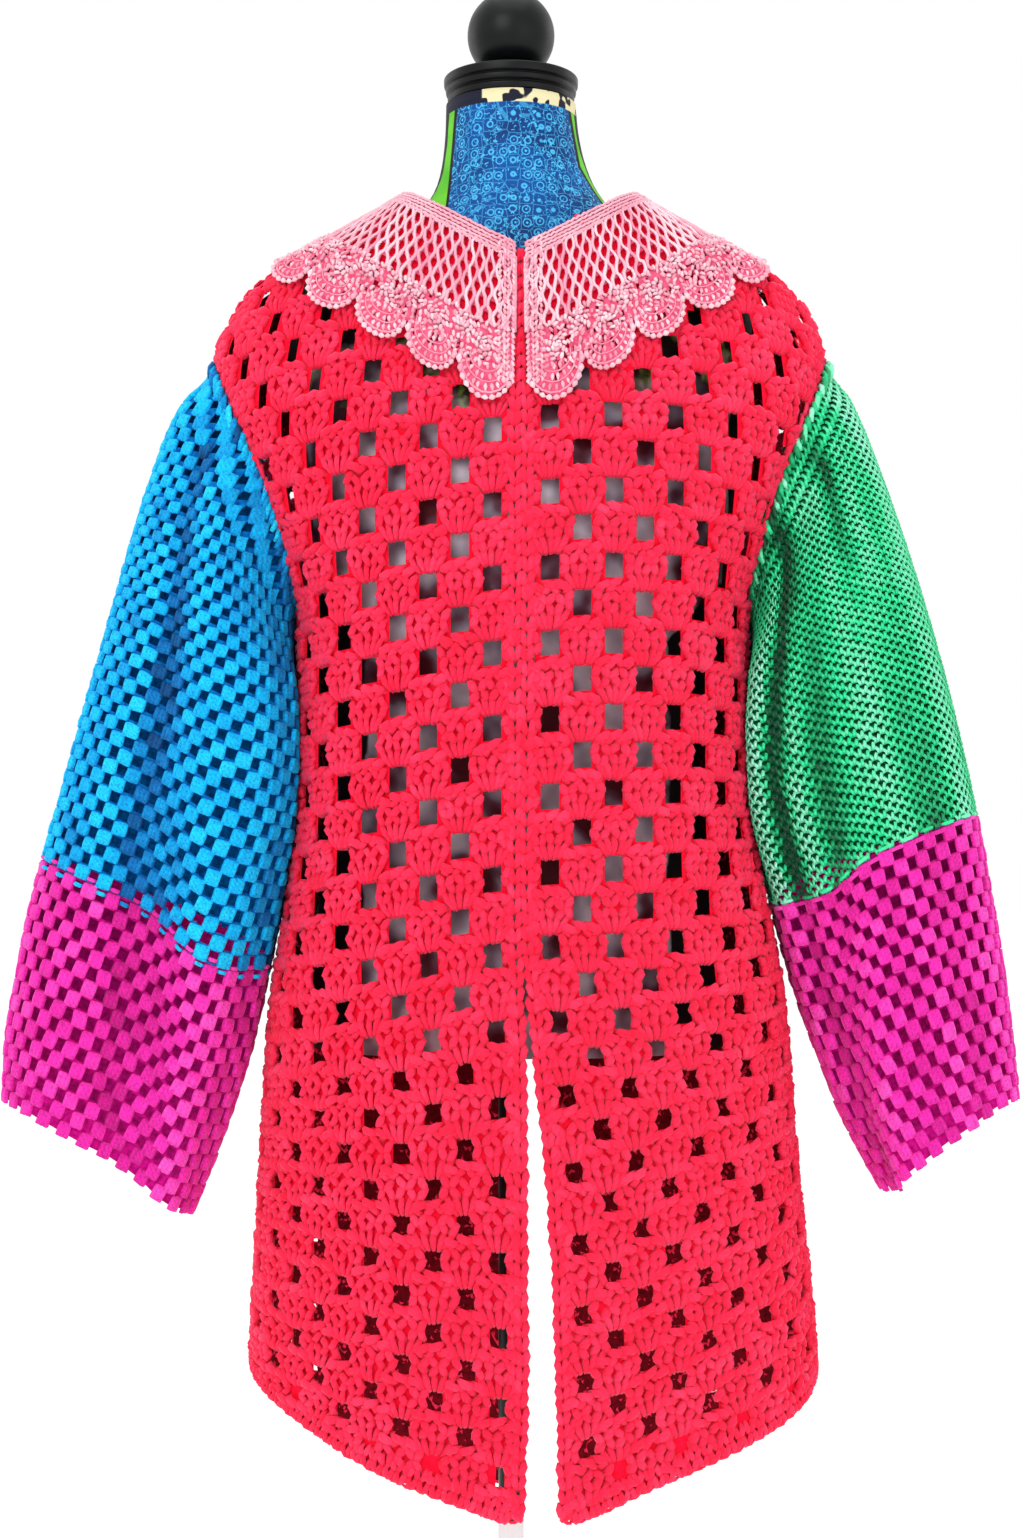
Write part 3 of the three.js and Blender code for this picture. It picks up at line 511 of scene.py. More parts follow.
EDGES = np.array(
    [  # z, frontRight, frontLeft, backRight, backLeft: x of each opening edge from the centre line
        (400, 0, 27, 2, 42),
        (470, 2, 28, 3, 40),
        (560, 5, 26, 3, 36),
        (660, 4, 22, 2, 29),
        (740, 4, 15, 1.5, 19),
        (800, 3, 9, 1, 10),
        (850, 1.2, 3.6, 0.5, 3),
        (880, 0, 0.6, 0, 0.6),
        (1450, 0, 0.6, 0, 0.6),
    ],
    float,
)
ring_right, ring_left, ring_front, ring_back = (mono(BODY_RINGS[:, 0], BODY_RINGS[:, k]) for k in (1, 2, 3, 4))
edge_x = {
    ("front", -1): mono(EDGES[:, 0], EDGES[:, 1]),
    ("front", 1): mono(EDGES[:, 0], EDGES[:, 2]),
    ("back", -1): mono(EDGES[:, 0], EDGES[:, 3]),
    ("back", 1): mono(EDGES[:, 0], EDGES[:, 4]),
}


def body_fold(angle, z):
    d = 0.0
    for at, width, starts, full, depth in BODY_FOLDS:
        a = angle - math.radians(at)
        a = a - 2 * math.pi * np.round(a / (2 * math.pi))
        d = d + depth * np.exp(-((a / math.radians(width)) ** 2)) * smooth((starts - z) / (starts - full))
    return d


def body_point(angle, z):
    s, c = np.sin(angle), np.cos(angle)
    a = np.where(s < 0, ring_right(z), ring_left(z))
    b = np.where(c > 0, ring_front(z), ring_back(z))
    r = (np.abs(s / a) ** BODY_EXP + np.abs(c / b) ** BODY_EXP) ** (-1 / BODY_EXP) + body_fold(angle, z)
    return np.stack([GARMENT_X + r * s, -r * c, z + 0 * r], axis=-1)


def body_level(p):
    """0 on the body surface above its folds, + outside."""
    x, y, z = p[..., 0] - GARMENT_X, p[..., 1], p[..., 2]
    a = np.where(x < 0, ring_right(z), ring_left(z))
    b = np.where(y < 0, ring_front(z), ring_back(z))
    return (np.abs(x / a) ** BODY_EXP + np.abs(y / b) ** BODY_EXP) ** (1 / BODY_EXP) - 1


def body_gradient(p):
    g = np.empty_like(p)
    for k in range(3):
        e = np.zeros(3)
        e[k] = 0.5
        g[..., k] = body_level(p + e) - body_level(p - e)
    return g


def body_half(side, y, z):
    a = np.where(side < 0, ring_right(z), ring_left(z))
    b = np.where(y < 0, ring_front(z), ring_back(z))
    q = np.minimum(0.98, np.abs(y) / b)
    return a * (1 - q**2.3) ** (1 / 2.3)


# ---- the four red panels: rows and columns of clusters -------------------------------------------
ROW = 27.3  # between rows of clusters
PITCH = 47.0  # between clusters of a row
A_ROWS = {  # heights, beside the opening, of every second row, from the top; rows between lie midway
    ("front", -1): [1362, 1306, 1250, 1193.5, 1141, 1087, 1033, 978, 922.5, 867, 812, 756.6, 697.7, 641.7, 586.7, 535.4, 485, 433, 381],
    ("front", 1): [1364, 1309, 1253.4, 1199.8, 1145.2, 1089.9, 1034.7, 978, 923.8, 870.7, 816.3, 761, 703.9, 650.8, 598.7, 549.3, 502.3, 452, 402],
}
BACK_GAUGE = 1.143  # the backs are worked this much looser
for _side in (-1, 1):
    _front = A_ROWS["front", _side]
    _rows = [1000 + BACK_GAUGE * (v - 1000) for v in _front]
    A_ROWS["back", _side] = [v for v in _rows if v > 330]
# Slope of the rows, + up outwards: height, beside the opening, further out, near the side seam
SLOPES = {
    ("front", -1): [
        (430, 0.2, 0.2, 0.2), (485, 0.17, 0.17, 0.17), (535, 0.10, 0.10, 0.10), (587, 0.065, 0.065, 0.065), (642, 0.02, 0.02, 0.02),
        (698, -0.045, -0.045, -0.045), (756, -0.10, -0.10, -0.10), (800, -0.14, -0.14, -0.14), (1033, -0.14, -0.14, -0.14),
        (1100, -0.12, -0.12, -0.12), (1250, -0.085, -0.085, -0.085),
    ],
    ("front", 1): [
        (430, 0.3, 0.3, 0.3), (500, 0.30, 0.30, 0.30), (598, 0.25, 0.25, 0.25), (650, 0.21, 0.21, 0.21), (704, 0.165, 0.165, 0.165),
        (761, 0.10, 0.10, 0.11), (816, 0.0, 0.07, 0.08), (871, 0.0, 0.03, 0.03), (924, 0.06, 0.04, 0.0), (978, 0.10, 0.02, -0.06),
        (1035, 0.09, -0.01, -0.09), (1250, 0.08, -0.02, -0.10),
    ],
}
for _side in (-1, 1):
    SLOPES["back", _side] = [(1000 + BACK_GAUGE * (z - 1000), a, b, c) for z, a, b, c in SLOPES["front", _side]]
BASE_ROW = 6.0  # above this row the columns run straight up over the shoulder
BAND = 9.5  # the crocheted band on each opening edge
HEM_EDGING = 17.0
BACK_HEM_BOW = 1.65


class Panel:
    """One front or back. s runs along the cloth from the opening edge, row counts rows down from the shoulder."""

    def __init__(self, which, side):
        self.which, self.side = which, side
        back = which == "back"
        self.gauge = BACK_GAUGE if back else 1.0
        self.row_mm = ROW * self.gauge
        self.pitch = PITCH * self.gauge
        # the first hole of even and of odd rows, from the opening edge
        self.first = {(False, -1): (20.7, 44.0), (False, 1): (20.7, 44.0), (True, -1): (49.3, 22.7), (True, 1): (51.3, 24.7)}[back, side]
        zg = np.arange(330, 1441, 4.0)
        tg = np.radians(np.arange(-25, 175.1, 0.8))
        zz, tt = np.meshgrid(zg, tg, indexing="ij")

        def angle(t):
            return (math.pi - side * t) if back else side * t

        self.angle = angle
        pts = body_point(angle(tt), zz)
        seg = np.linalg.norm(np.diff(pts, axis=1), axis=-1)
        length = np.concatenate([np.zeros((len(zg), 1)), np.cumsum(seg, axis=1)], axis=1)
        zero = np.array([np.interp(0.0, tg, row) for row in length])
        length -= zero[:, None]
        sig = np.arange(-60, 480, 3.0)
        inv = np.array([np.interp(sig, length[i], tg) for i in range(len(zg))])
        self.side_s = mono(zg, np.array([np.interp(math.pi / 2, tg, length[i]) for i in range(len(zg))]) - side * edge_x[which, side](zg))

        def turn(sigma, z):
            fz = np.clip((z - zg[0]) / 4.0, 0, len(zg) - 1.001)
            fs = np.clip((sigma - sig[0]) / 3.0, 0, len(sig) - 1.001)
            i, j = fz.astype(int), fs.astype(int)
            u, v = fz - i, fs - j
            return (inv[i, j] * (1 - v) + inv[i, j + 1] * v) * (1 - u) + (inv[i + 1, j] * (1 - v) + inv[i + 1, j + 1] * v) * u

        heights = np.array(A_ROWS[which, side], float)
        rows = 2.0 * np.arange(len(heights))
        z_of = mono(rows, heights)
        slopes = np.array(SLOPES[which, side], float)
        near, far, outer = (mono(slopes[:, 0], slopes[:, k]) for k in (1, 2, 3))

        def lift(z, s):
            c = np.maximum(s, 0)
            a = np.minimum(c, 47)
            b = np.clip(c - 47, 0, 80)
            d = np.maximum(c - 127, 0)
            return near(z) * a + far(z) * b + outer(z) * d

        self.s = np.arange(-12, 360.1, 4.0)
        step = 0.125
        low_rows = np.arange(BASE_ROW, rows[-1] + 1e-6, step)
        ss, rr = np.meshgrid(self.s, low_rows, indexing="ij")
        zc = z_of(rr)
        z = zc + lift(zc, ss)
        sigma = ss + side * edge_x[which, side](z)
        low = body_point(angle(turn(sigma, z)), z)
        self.low_z = z
        # straight columns above the base row
        p = low[:, 0].copy()
        d = unit(low[:, 0] - low[:, 2])
        high = []
        high_rows = np.arange(BASE_ROW - step, -8.01, -step)
        hop = step * 28.0 * self.gauge
        for _ in high_rows:
            p = p + d * hop
            for _k in range(2):
                g = body_gradient(p)
                p = p - g * (body_level(p) / np.maximum(np.sum(g * g, -1), 1e-12))[:, None]
            n = unit(body_gradient(p))
            d = unit(d - n * np.sum(d * n, -1, keepdims=True))
            high.append(p.copy())
        high = np.stack(high, axis=1)[:, ::-1]
        self.rows = np.concatenate([high_rows[::-1], low_rows])
        pts = np.concatenate([high, low], axis=1)
        centre = np.stack([np.full(pts.shape[:2], GARMENT_X), np.zeros(pts.shape[:2]), pts[..., 2] - 60 * (pts[..., 2] > 1330)], -1)
        self.chart = Chart(self.s, self.rows, pts, pts - centre)
        # the hem's row for each s
        share_len = float(self.side_s(500.0))
        point_z = BACK_POINT_Z if back else FRONT_POINT_Z
        share = self.s / share_len
        hem_z = point_z + (SIDE_HEM_Z - point_z) * np.maximum(share, 0) ** (BACK_HEM_BOW if back else 1.0) + HEM_CORNER * np.maximum(0, 1 - np.maximum(share, 0) / 0.06) ** 2
        self.hem_row = np.array([np.interp(-hem_z[i], -self.low_z[i], low_rows) for i in range(len(self.s))])
        self.point_z = point_z

    def hem(self, s):
        return np.interp(s, self.s, self.hem_row)

    def inside(self, p, s, row, edge=BAND * 0.75, hem=HEM_EDGING * 0.72, seam=1.0):
        """True where the cluster fabric may be."""
        x, y, z = p[..., 0] - GARMENT_X, p[..., 1], p[..., 2]
        ok = s > edge
        ok &= (y > seam) if self.which == "back" else (y < -seam)
        ok &= row < self.hem(s) - hem / self.row_mm
        q = (z - (SHOULDER_Z + UNDERARM_Z) / 2) / ((SHOULDER_Z - UNDERARM_Z) / 2 - 1)
        ok &= ~((q**2 + (y / (ARMHOLE_HALF - 1)) ** 2 < 1) & (np.abs(x) > 120))
        if self.which == "back":
            neck = NECK_HALF * np.sqrt(np.clip((z - NECK_BACK_Z) / (NECK_SIDE_Z - NECK_BACK_Z), 0, None))
        else:
            neck = NECK_HALF * np.clip((z - NECK_FRONT_Z) / (NECK_SIDE_Z - NECK_FRONT_Z), 0, None)
        ok &= np.abs(x) > neck + 2.5
        ok &= z < NECK_SIDE_Z - 4
        return ok


def bean(x, z, tilt, length, r, h):
    """A short plump strand: its middle, its tilt from upright in degrees, its length, radius and how far it stands out."""
    c, n = math.cos(math.radians(tilt)), math.sin(math.radians(tilt))
    pts = [(x + n * length * f, z + c * length * f, h + g) for f, g in ((-0.5, -2.4), (-0.2, -0.1), (0.2, 0.0), (0.5, -2.2))]
    return pts, [r * 0.66, r, r * 0.98, r * 0.64]


def cluster_motif():
    """One cluster of three tall stitches: strands of (across, up, out) points with radii. 0,0 is its middle."""
    out = {"fan": [], "body": [], "chain": []}
    for x in (-6.0, -3.1, 0.0, 3.1, 6.0):
        out["fan"].append(
            (
                [(x * 0.9, -19.4, -1.6), (x * 1.12, -16.8, 1.6), (x * 1.7, -11.6, 3.2), (x * 2.22, -5.6, 1.6)],
                [1.7, 2.25, 2.95, 2.4],
            )
        )
    for x, tilt in ((-13.4, -30), (-6.8, 24), (-0.2, -30), (6.6, 28), (13.4, -18)):
        out["body"].append(bean(x, -3.2, tilt, 10.2, 3.45, 2.7))
    for x, tilt in ((-13.6, 26), (-7.0, -36), (0.2, 38), (7.0, -34), (13.6, 28)):
        out["body"].append(bean(x, 4.0, tilt, 9.8, 3.45, 3.1))
    for x, tilt in ((-10.8, -44), (-3.8, 40), (3.4, -40), (10.8, 44)):
        out["body"].append(bean(x, 10.6, tilt, 9.4, 3.3, 2.3))
    for x0 in (-8.8, 0.7, 9.8):
        arch = 15.2 - 0.02 * x0 * x0
        out["chain"].append(
            (
                [(x0 - 6.6, arch - 3.4, -0.6), (x0 - 2.8, arch - 1.2, 3.9), (x0 + 2.6, arch + 1.2, 4.0), (x0 + 6.4, arch + 2.4, -0.8)],
                [1.7, 3.15, 3.2, 1.5],
            )
        )
    return out


CLUSTER = cluster_motif()
SIDES = {"fan": 4, "body": 4, "chain": 5}


def lower(z):
    """0 where the holes are tall and wide, 1 towards the hem, where the work is closer."""
    return smooth((940 - z) / 170)


def lay(panel, yarn, s0, r0, motif, sides, jitter, keep, press):
    """Lays one copy of each of the motif's strands at every (s0, r0). press flattens what the collar lies on."""
    n = len(s0)
    p0, _ = panel.chart.at(s0, r0)
    low = lower(p0[:, 2])
    wide, tall = (0.95 + 0.13 * low)[:, None], (0.93 + 0.13 * low)[:, None]
    flip = rng.choice([-1.0, 1.0], n)
    tone0 = rng.uniform(0, 1, n)
    for pts, rad in motif:
        q = np.array(pts, float)
        k = len(q)
        j = rng.normal(0, 1, (n, 1, 3)) * jitter
        wob = rng.normal(0, 1, (n, k, 3)) * jitter * 0.35
        x = (q[None, :, 0] * flip[:, None] * wide + j[..., 0] + wob[..., 0]) * panel.gauge
        z = q[None, :, 1] * tall + j[..., 1] + wob[..., 1]
        h = (q[None, :, 2] + 0.4 * j[..., 2] + 0.5 * wob[..., 2]) * press[:, None]
        s = s0[:, None] + x
        row = r0[:, None] - z / ROW
        p, nn = panel.chart.point(s, row, h)
        mid = k // 2
        ok = keep(p[:, mid], s[:, mid], row[:, mid]) & keep(p[:, 0], s[:, 0], row[:, 0]) | keep(p[:, mid], s[:, mid], row[:, mid]) & keep(p[:, -1], s[:, -1], row[:, -1])
        r = np.array(rad)[None, :] * rng.uniform(0.93, 1.08, (n, 1)) * (1 + 0.6 * (panel.gauge - 1))
        tone = np.clip(tone0 * 0.5 + rng.uniform(0, 1, n) * 0.5, 0, 1)
        yarn.add(p[ok], nn[ok], r[ok] * (0.55 + 0.45 * press[ok][:, None]), sides, flat=0.86, tone=tone[ok])


def centres(panel):
    """Every lattice place (s, row) of a cluster: those of even rows lie over the holes of odd rows."""
    s0, r0 = [], []
    for r in range(-4, 2 * len(A_ROWS[panel.which, panel.side]) + 2):
        # holes of even rows at 20.7 + 47k from the edge, of odd rows at 44 + 47k; clusters lie between them
        first = panel.first[1] if r % 2 == 0 else panel.first[0]
        for k in range(-1, 8):
            s = first + panel.pitch * k
            if s < 0:
                s = -3.0
            s0.append(s)
            r0.append(float(r))
    return np.array(s0), np.array(r0)


def vee_band(panel, yarn, s, row, direction, width, length, lift=1.2, sides=5, jitter=0.35):
    """V stitches along a line of chart points: each is two slanted strands that meet at the point of the V.
    s, row: (n,) places; direction: (n,2) unit step along the line in (s mm, row) ; width across, length along."""
    n = len(s)
    for sign in (-1, 1):
        pts = [(-0.62 * length, sign * 0.05 * width, -0.4), (-0.2 * length, sign * 0.2 * width, 1.0), (0.22 * length, sign * 0.33 * width, 1.1), (0.58 * length, sign * 0.3 * width, -0.4)]
        q = np.array(pts)
        j = rng.normal(0, jitter, (n, 1, 2))
        al = q[None, :, 0] + j[..., 0]
        ac = q[None, :, 1] + j[..., 1]
        h = lift + q[None, :, 2] * width * 0.2
        ss = s[:, None] + al * direction[:, 0:1] - ac * direction[:, 1:2]
        mm = al * direction[:, 1:2] + ac * direction[:, 0:1]
        rr = row[:, None] - mm / panel.row_mm
        p, nn = panel.chart.point(ss, rr, np.broadcast_to(h, ss.shape))
        rad = np.array([0.5, 0.98, 1.05, 0.55])[None, :] * width * 0.265 * rng.uniform(0.94, 1.08, (n, 1))
        yarn.add(p, nn, rad, sides, flat=0.85)


def panel_core(panel, name):
    """The cloth itself: a thin sheet with the crochet's holes, cut to the panel's outline."""
    smax = float(np.max(panel.side_s(np.array([520.0, 1318.0])))) + 30
    # lines of the grid, at the edges of the holes
    cols = [0.0, BAND]
    about = [0.0, BAND]
    kinds = ["band"]
    k = 0
    while True:
        first = min(panel.first)
        c = first + panel.pitch / 2 * k
        if c - 8 > smax:
            break
        a, b = c - 6.7 * panel.gauge, c + 6.7 * panel.gauge
        if a > cols[-1] + 0.5:
            cols.append(a)
            about.append(c)
            kinds.append("solid")
        cols.append(c)
        about.append(c)
        kinds.append(("hole", k))
        cols.append(b)
        about.append(c)
        kinds.append(("hole", k))
        k += 1
    parity = 0 if panel.first[0] < panel.first[1] else 1
    rows, rkinds, mids = [-8.0 + 9.3 / ROW], [], [-8.0 + 9.3 / ROW]
    nrow = 2 * len(A_ROWS[panel.which, panel.side])
    for r in range(-7, nrow):
        top, bottom = r - 9.3 / ROW, r + 9.3 / ROW
        rows.append(top)
        mids.append(r)
        rkinds.append("solid")
        for f in (1, 2, 3):
            rows.append(top + (bottom - top) * f / 3)
            mids.append(r)
            rkinds.append(("hole", r))
    cols, rows = np.array(cols), np.array(rows)
    ss, rr = np.meshgrid(cols, rows, indexing="ij")
    # the holes are smaller towards the hem, and smaller in the backs
    at_ = panel.chart.at(ss, rr)[0]
    less = 1 - 0.05 * lower(at_[..., 2]) - (0.1 if panel.which == "back" else 0.0)
    # and drawn narrow over the round of the shoulder
    narrow = 1 - 0.42 * smooth((np.abs(at_[..., 0] - GARMENT_X) - 105) / 60) * smooth((at_[..., 2] - 1080) / 80)
    ss = np.array(about)[:, None] + (ss - np.array(about)[:, None]) * less * narrow
    rr = np.array(mids)[None, :] + (rr - np.array(mids)[None, :]) * less
    # bring what hangs below the hem, or past the side seam, onto them
    hem = panel.hem(ss)
    rr2 = np.minimum(rr, hem - 1.0 / panel.row_mm)
    p, n = panel.chart.at(ss, rr2)
    y = p[..., 1]
    past = (y > -0.6) if panel.which == "front" else (y < 0.6)
    # side seam below the armhole: pull s back until the point lies on the seam
    low = p[..., 2] < UNDERARM_Z
    lim = panel.side_s(p[..., 2]) - 0.6
    ss2 = np.where(low & past, np.minimum(ss, lim), ss)
    p, n = panel.chart.at(ss2, rr2)
    covered = under_collar(p.reshape(-1, 3)).reshape(ss.shape)
    p = p + n * ((0.5 if panel.which == "front" else -0.6) + 3.6 * covered)[..., None]
    ni, nj = ss.shape
    faces = []
    keep = panel.inside(p, ss2, rr2, edge=-1.0, hem=0.0, seam=0.2)
    for i in range(ni - 1):
        for j in range(nj - 1):
            kc, kr = kinds[i], rkinds[j]
            if isinstance(kc, tuple) and isinstance(kr, tuple) and (kc[1] + kr[1]) % 2 == parity:
                # a hole, unless it is cut by the hem or the band
                if kr[1] + 0.62 < panel.hem(ss[i, j]) - HEM_EDGING / panel.row_mm and covered[i, j] < 0.35 and not (low[i, j] and lim[i, j] - ss[i, j] < (15 if name != "back_left_cloth" else 105)):
                    continue
            if rr[i, j] > hem[i, j] or rr[i + 1, j] > hem[i + 1, j]:
                continue
            ids = [(i, j), (i + 1, j), (i + 1, j + 1), (i, j + 1)]
            q = np.array([p[a] for a in ids])
            mid = q.mean(0)
            ok = sum(bool(keep[a]) for a in ids)
            if ok < 3:
                continue
            if np.linalg.norm(q[0] - q[1]) < 0.3 or np.linalg.norm(q[1] - q[2]) < 0.2 or np.linalg.norm(q[0] - q[3]) < 0.2:
                continue
            faces.append([a[0] * nj + a[1] for a in ids])
    used = np.unique(np.array(faces).ravel())
    remap = -np.ones(ni * nj, int)
    remap[used] = np.arange(len(used))
    flat = p.reshape(-1, 3)[used]
    faces = [[remap[v] for v in f] for f in faces]
    # the backs' dark red is painted shade
    return surface_mesh(name, flat, faces, RED_CORE_BACK_SHADE if panel.which == "back" else RED_CORE)


# ---- the collar's surface ------------------------------------------------------------------------
COLLAR_EDGE = np.array(
    [(0, 1271), (12, 1275), (28, 1294), (44, 1317), (58, 1340), (68, 1357), (78, 1377), (90, 1390), (105, 1373), (122, 1346), (140, 1326), (160, 1314), (180, 1310)],
    float,
)
SCALLOPS = 22
COLLAR_OPENING = 2.2
collar_low = mono(COLLAR_EDGE[:, 0], COLLAR_EDGE[:, 1])


def neck_height(angle):
    """Height of the neckline at a ring angle."""
    back = np.abs(angle) > math.pi / 2
    lo = np.where(back, NECK_BACK_Z, NECK_FRONT_Z) + 0.0
    hi = np.full_like(lo, NECK_SIDE_Z)
    for _ in range(40):
        z = (lo + hi) / 2
        x = np.abs(body_point(angle, z)[..., 0] - GARMENT_X)
        n = np.where(
            back,
            NECK_HALF * np.sqrt(np.clip((z - NECK_BACK_Z) / (NECK_SIDE_Z - NECK_BACK_Z), 0, None)),
            NECK_HALF * np.clip((z - NECK_FRONT_Z) / (NECK_SIDE_Z - NECK_FRONT_Z), 0, None),
        )
        above = n - x > 0
        hi = np.where(above, z, hi)
        lo = np.where(above, lo, z)
    return (lo + hi) / 2


def collar_points(angle, shares):
    """Points of the body surface under the collar, at shares (0 at the neck, 1 at the edge) of its depth."""
    top = neck_height(angle) - 0.5
    low = collar_low(np.degrees(np.abs(angle)))
    over = max(1.0, float(np.max(shares)))
    end = low - (over - 1) * (top - low)
    k = np.linspace(0, 1, 41)
    zz = top[:, None] + (end - top)[:, None] * k[None]
    pts = body_point(angle[:, None], zz)
    length = np.concatenate([np.zeros((len(angle), 1)), np.cumsum(np.linalg.norm(np.diff(pts, axis=1), axis=-1), axis=1)], axis=1)
    out = np.empty((len(angle), len(shares), 3))
    for i in range(len(angle)):
        z = np.interp(np.asarray(shares) / over * length[i, -1], length[i], zz[i])
        out[i] = body_point(np.full(len(shares), angle[i]), z)
    return out


_t = np.radians(np.linspace(COLLAR_OPENING, 360 - COLLAR_OPENING, 721))
_w = np.where(_t > math.pi, _t - 2 * math.pi, _t)
_edge = collar_points(_w, np.array([1.0]))[:, 0]
_len = np.concatenate([[0], np.cumsum(np.linalg.norm(np.diff(_edge, axis=0), axis=-1))])
COLLAR_STEPS = 10
_even = np.interp(np.linspace(0, _len[-1], SCALLOPS * COLLAR_STEPS + 1), _len, _t)
collar_angle = np.where(_even > math.pi, _even - 2 * math.pi, _even)
collar_share = np.linspace(0, 1.1, 56)
_grid = collar_points(collar_angle, collar_share)
collar_chart = Chart(
    np.linspace(0, SCALLOPS, SCALLOPS * COLLAR_STEPS + 1),
    collar_share,
    _grid,
    _grid - np.stack([np.full(_grid.shape[:2], GARMENT_X), np.zeros(_grid.shape[:2]), np.full(_grid.shape[:2], 1150.0)], -1),
)
COLLAR_EDGE_LEN = float(_len[-1])
_inner = collar_chart.p[:, 0]
COLLAR_NECK_LEN = float(np.sum(np.linalg.norm(np.diff(_inner, axis=0), axis=-1)))
collar_depth = np.sum(np.linalg.norm(np.diff(collar_chart.p[:, :51], axis=1), axis=-1), axis=1)


def pressed(p):
    """1 where the knitting is free, less where the collar lies on it."""
    from mathutils import kdtree

    pts = collar_chart.p[::3, :52:3].reshape(-1, 3)
    tree = kdtree.KDTree(len(pts))
    for i, q in enumerate(pts):
        tree.insert(q, i)
    tree.balance()
    d = np.array([tree.find(q)[2] for q in p])
    return 0.5 + 0.5 * smooth((d - 8) / 22)


def under_collar(p):
    """1 well under the collar's lace, 0 clear of it."""
    from mathutils import kdtree

    pts = collar_chart.p[::3, 3:45:3].reshape(-1, 3)
    tree = kdtree.KDTree(len(pts))
    for i, q in enumerate(pts):
        tree.insert(q, i)
    tree.balance()
    d = np.array([tree.find(q)[2] for q in p])
    return 1 - smooth((d - 5) / 6)


def body_frame(angle, z):
    p = body_point(angle, z)
    across = body_point(angle + 0.01, z) - body_point(angle - 0.01, z)
    up = body_point(angle, z + 2) - body_point(angle, z - 2)
    n = unit(np.cross(across, up))
    out = p - np.stack([np.full(p.shape[:-1], GARMENT_X), np.zeros(p.shape[:-1]), p[..., 2] - 30], -1)
    return p, n * np.sign(np.sum(n * out, -1, keepdims=True))


def vee_line(yarn, pts, nrm, width, pitch, lift=1.6, sides=4):
    """A chain of V stitches along a line on the cloth."""
    seg = np.linalg.norm(np.diff(pts, axis=0), axis=-1)
    along = np.concatenate([[0], np.cumsum(seg)])
    m = max(2, int(along[-1] / pitch))
    at = (np.arange(m) + 0.5) / m * along[-1]

    def pick(q):
        q = np.clip(q, 0, along[-1])
        return np.stack([np.interp(q, along, pts[:, k]) for k in range(3)], -1), unit(np.stack([np.interp(q, along, nrm[:, k]) for k in range(3)], -1))

    length = along[-1] / m * 1.12
    for sign in (-1, 1):
        q = np.array([(-0.6, 0.05, -0.4), (-0.2, 0.2, 1.0), (0.22, 0.33, 1.1), (0.56, 0.3, -0.4)])
        p, n = pick(at[:, None] + q[None, :, 0] * length + rng.normal(0, 0.3, (m, 1)))
        ahead, _ = pick(at[:, None] + q[None, :, 0] * length + 2.0)
        back, _ = pick(at[:, None] + q[None, :, 0] * length - 2.0)
        side_ = np.cross(unit(ahead - back), n)
        p = p + side_ * (sign * q[None, :, 1:2] * width) + n * (lift + q[None, :, 2:3] * width * 0.2)
        rad = np.array([0.5, 0.98, 1.05, 0.55])[None, :] * width * 0.26 * rng.uniform(0.93, 1.08, (m, 1))
        yarn.add(p, n, rad, sides, flat=0.85)


def seam_braids(yarn, which, side):
    """Along the side seam, the shoulder seam and the armhole."""
    sg = -1.0 if which == "front" else 1.0
    z = np.linspace(SIDE_HEM_Z + 16, UNDERARM_Z - 6, 140)
    half = body_half(side, np.zeros_like(z), z)
    a = side * (math.pi / 2 + sg * 4.6 / half)
    p, n = body_frame(a, z)
    vee_line(yarn, p, n, 8.0, 11.0)
    z = np.linspace(SHOULDER_Z + 5, NECK_SIDE_Z - 7, 60)
    half = body_half(side, np.zeros_like(z), z)
    a = side * (math.pi / 2 + sg * 4.4 / half)
    p, n = body_frame(a, z)
    vee_line(yarn, p, n, 7.6, 10.5)
    w = np.linspace(-83, 83, 90) * math.pi / 180
    y = sg * (ARMHOLE_HALF + 3.6) * np.cos(w)
    zz = (SHOULDER_Z + UNDERARM_Z) / 2 + ((SHOULDER_Z - UNDERARM_Z) / 2 + 3.6) * np.sin(w)
    p = np.stack([GARMENT_X + side * body_half(side, y, zz), y, zz], -1)
    n = unit(body_gradient(p))
    vee_line(yarn, p, n, 8.0, 10.5, lift=1.2)


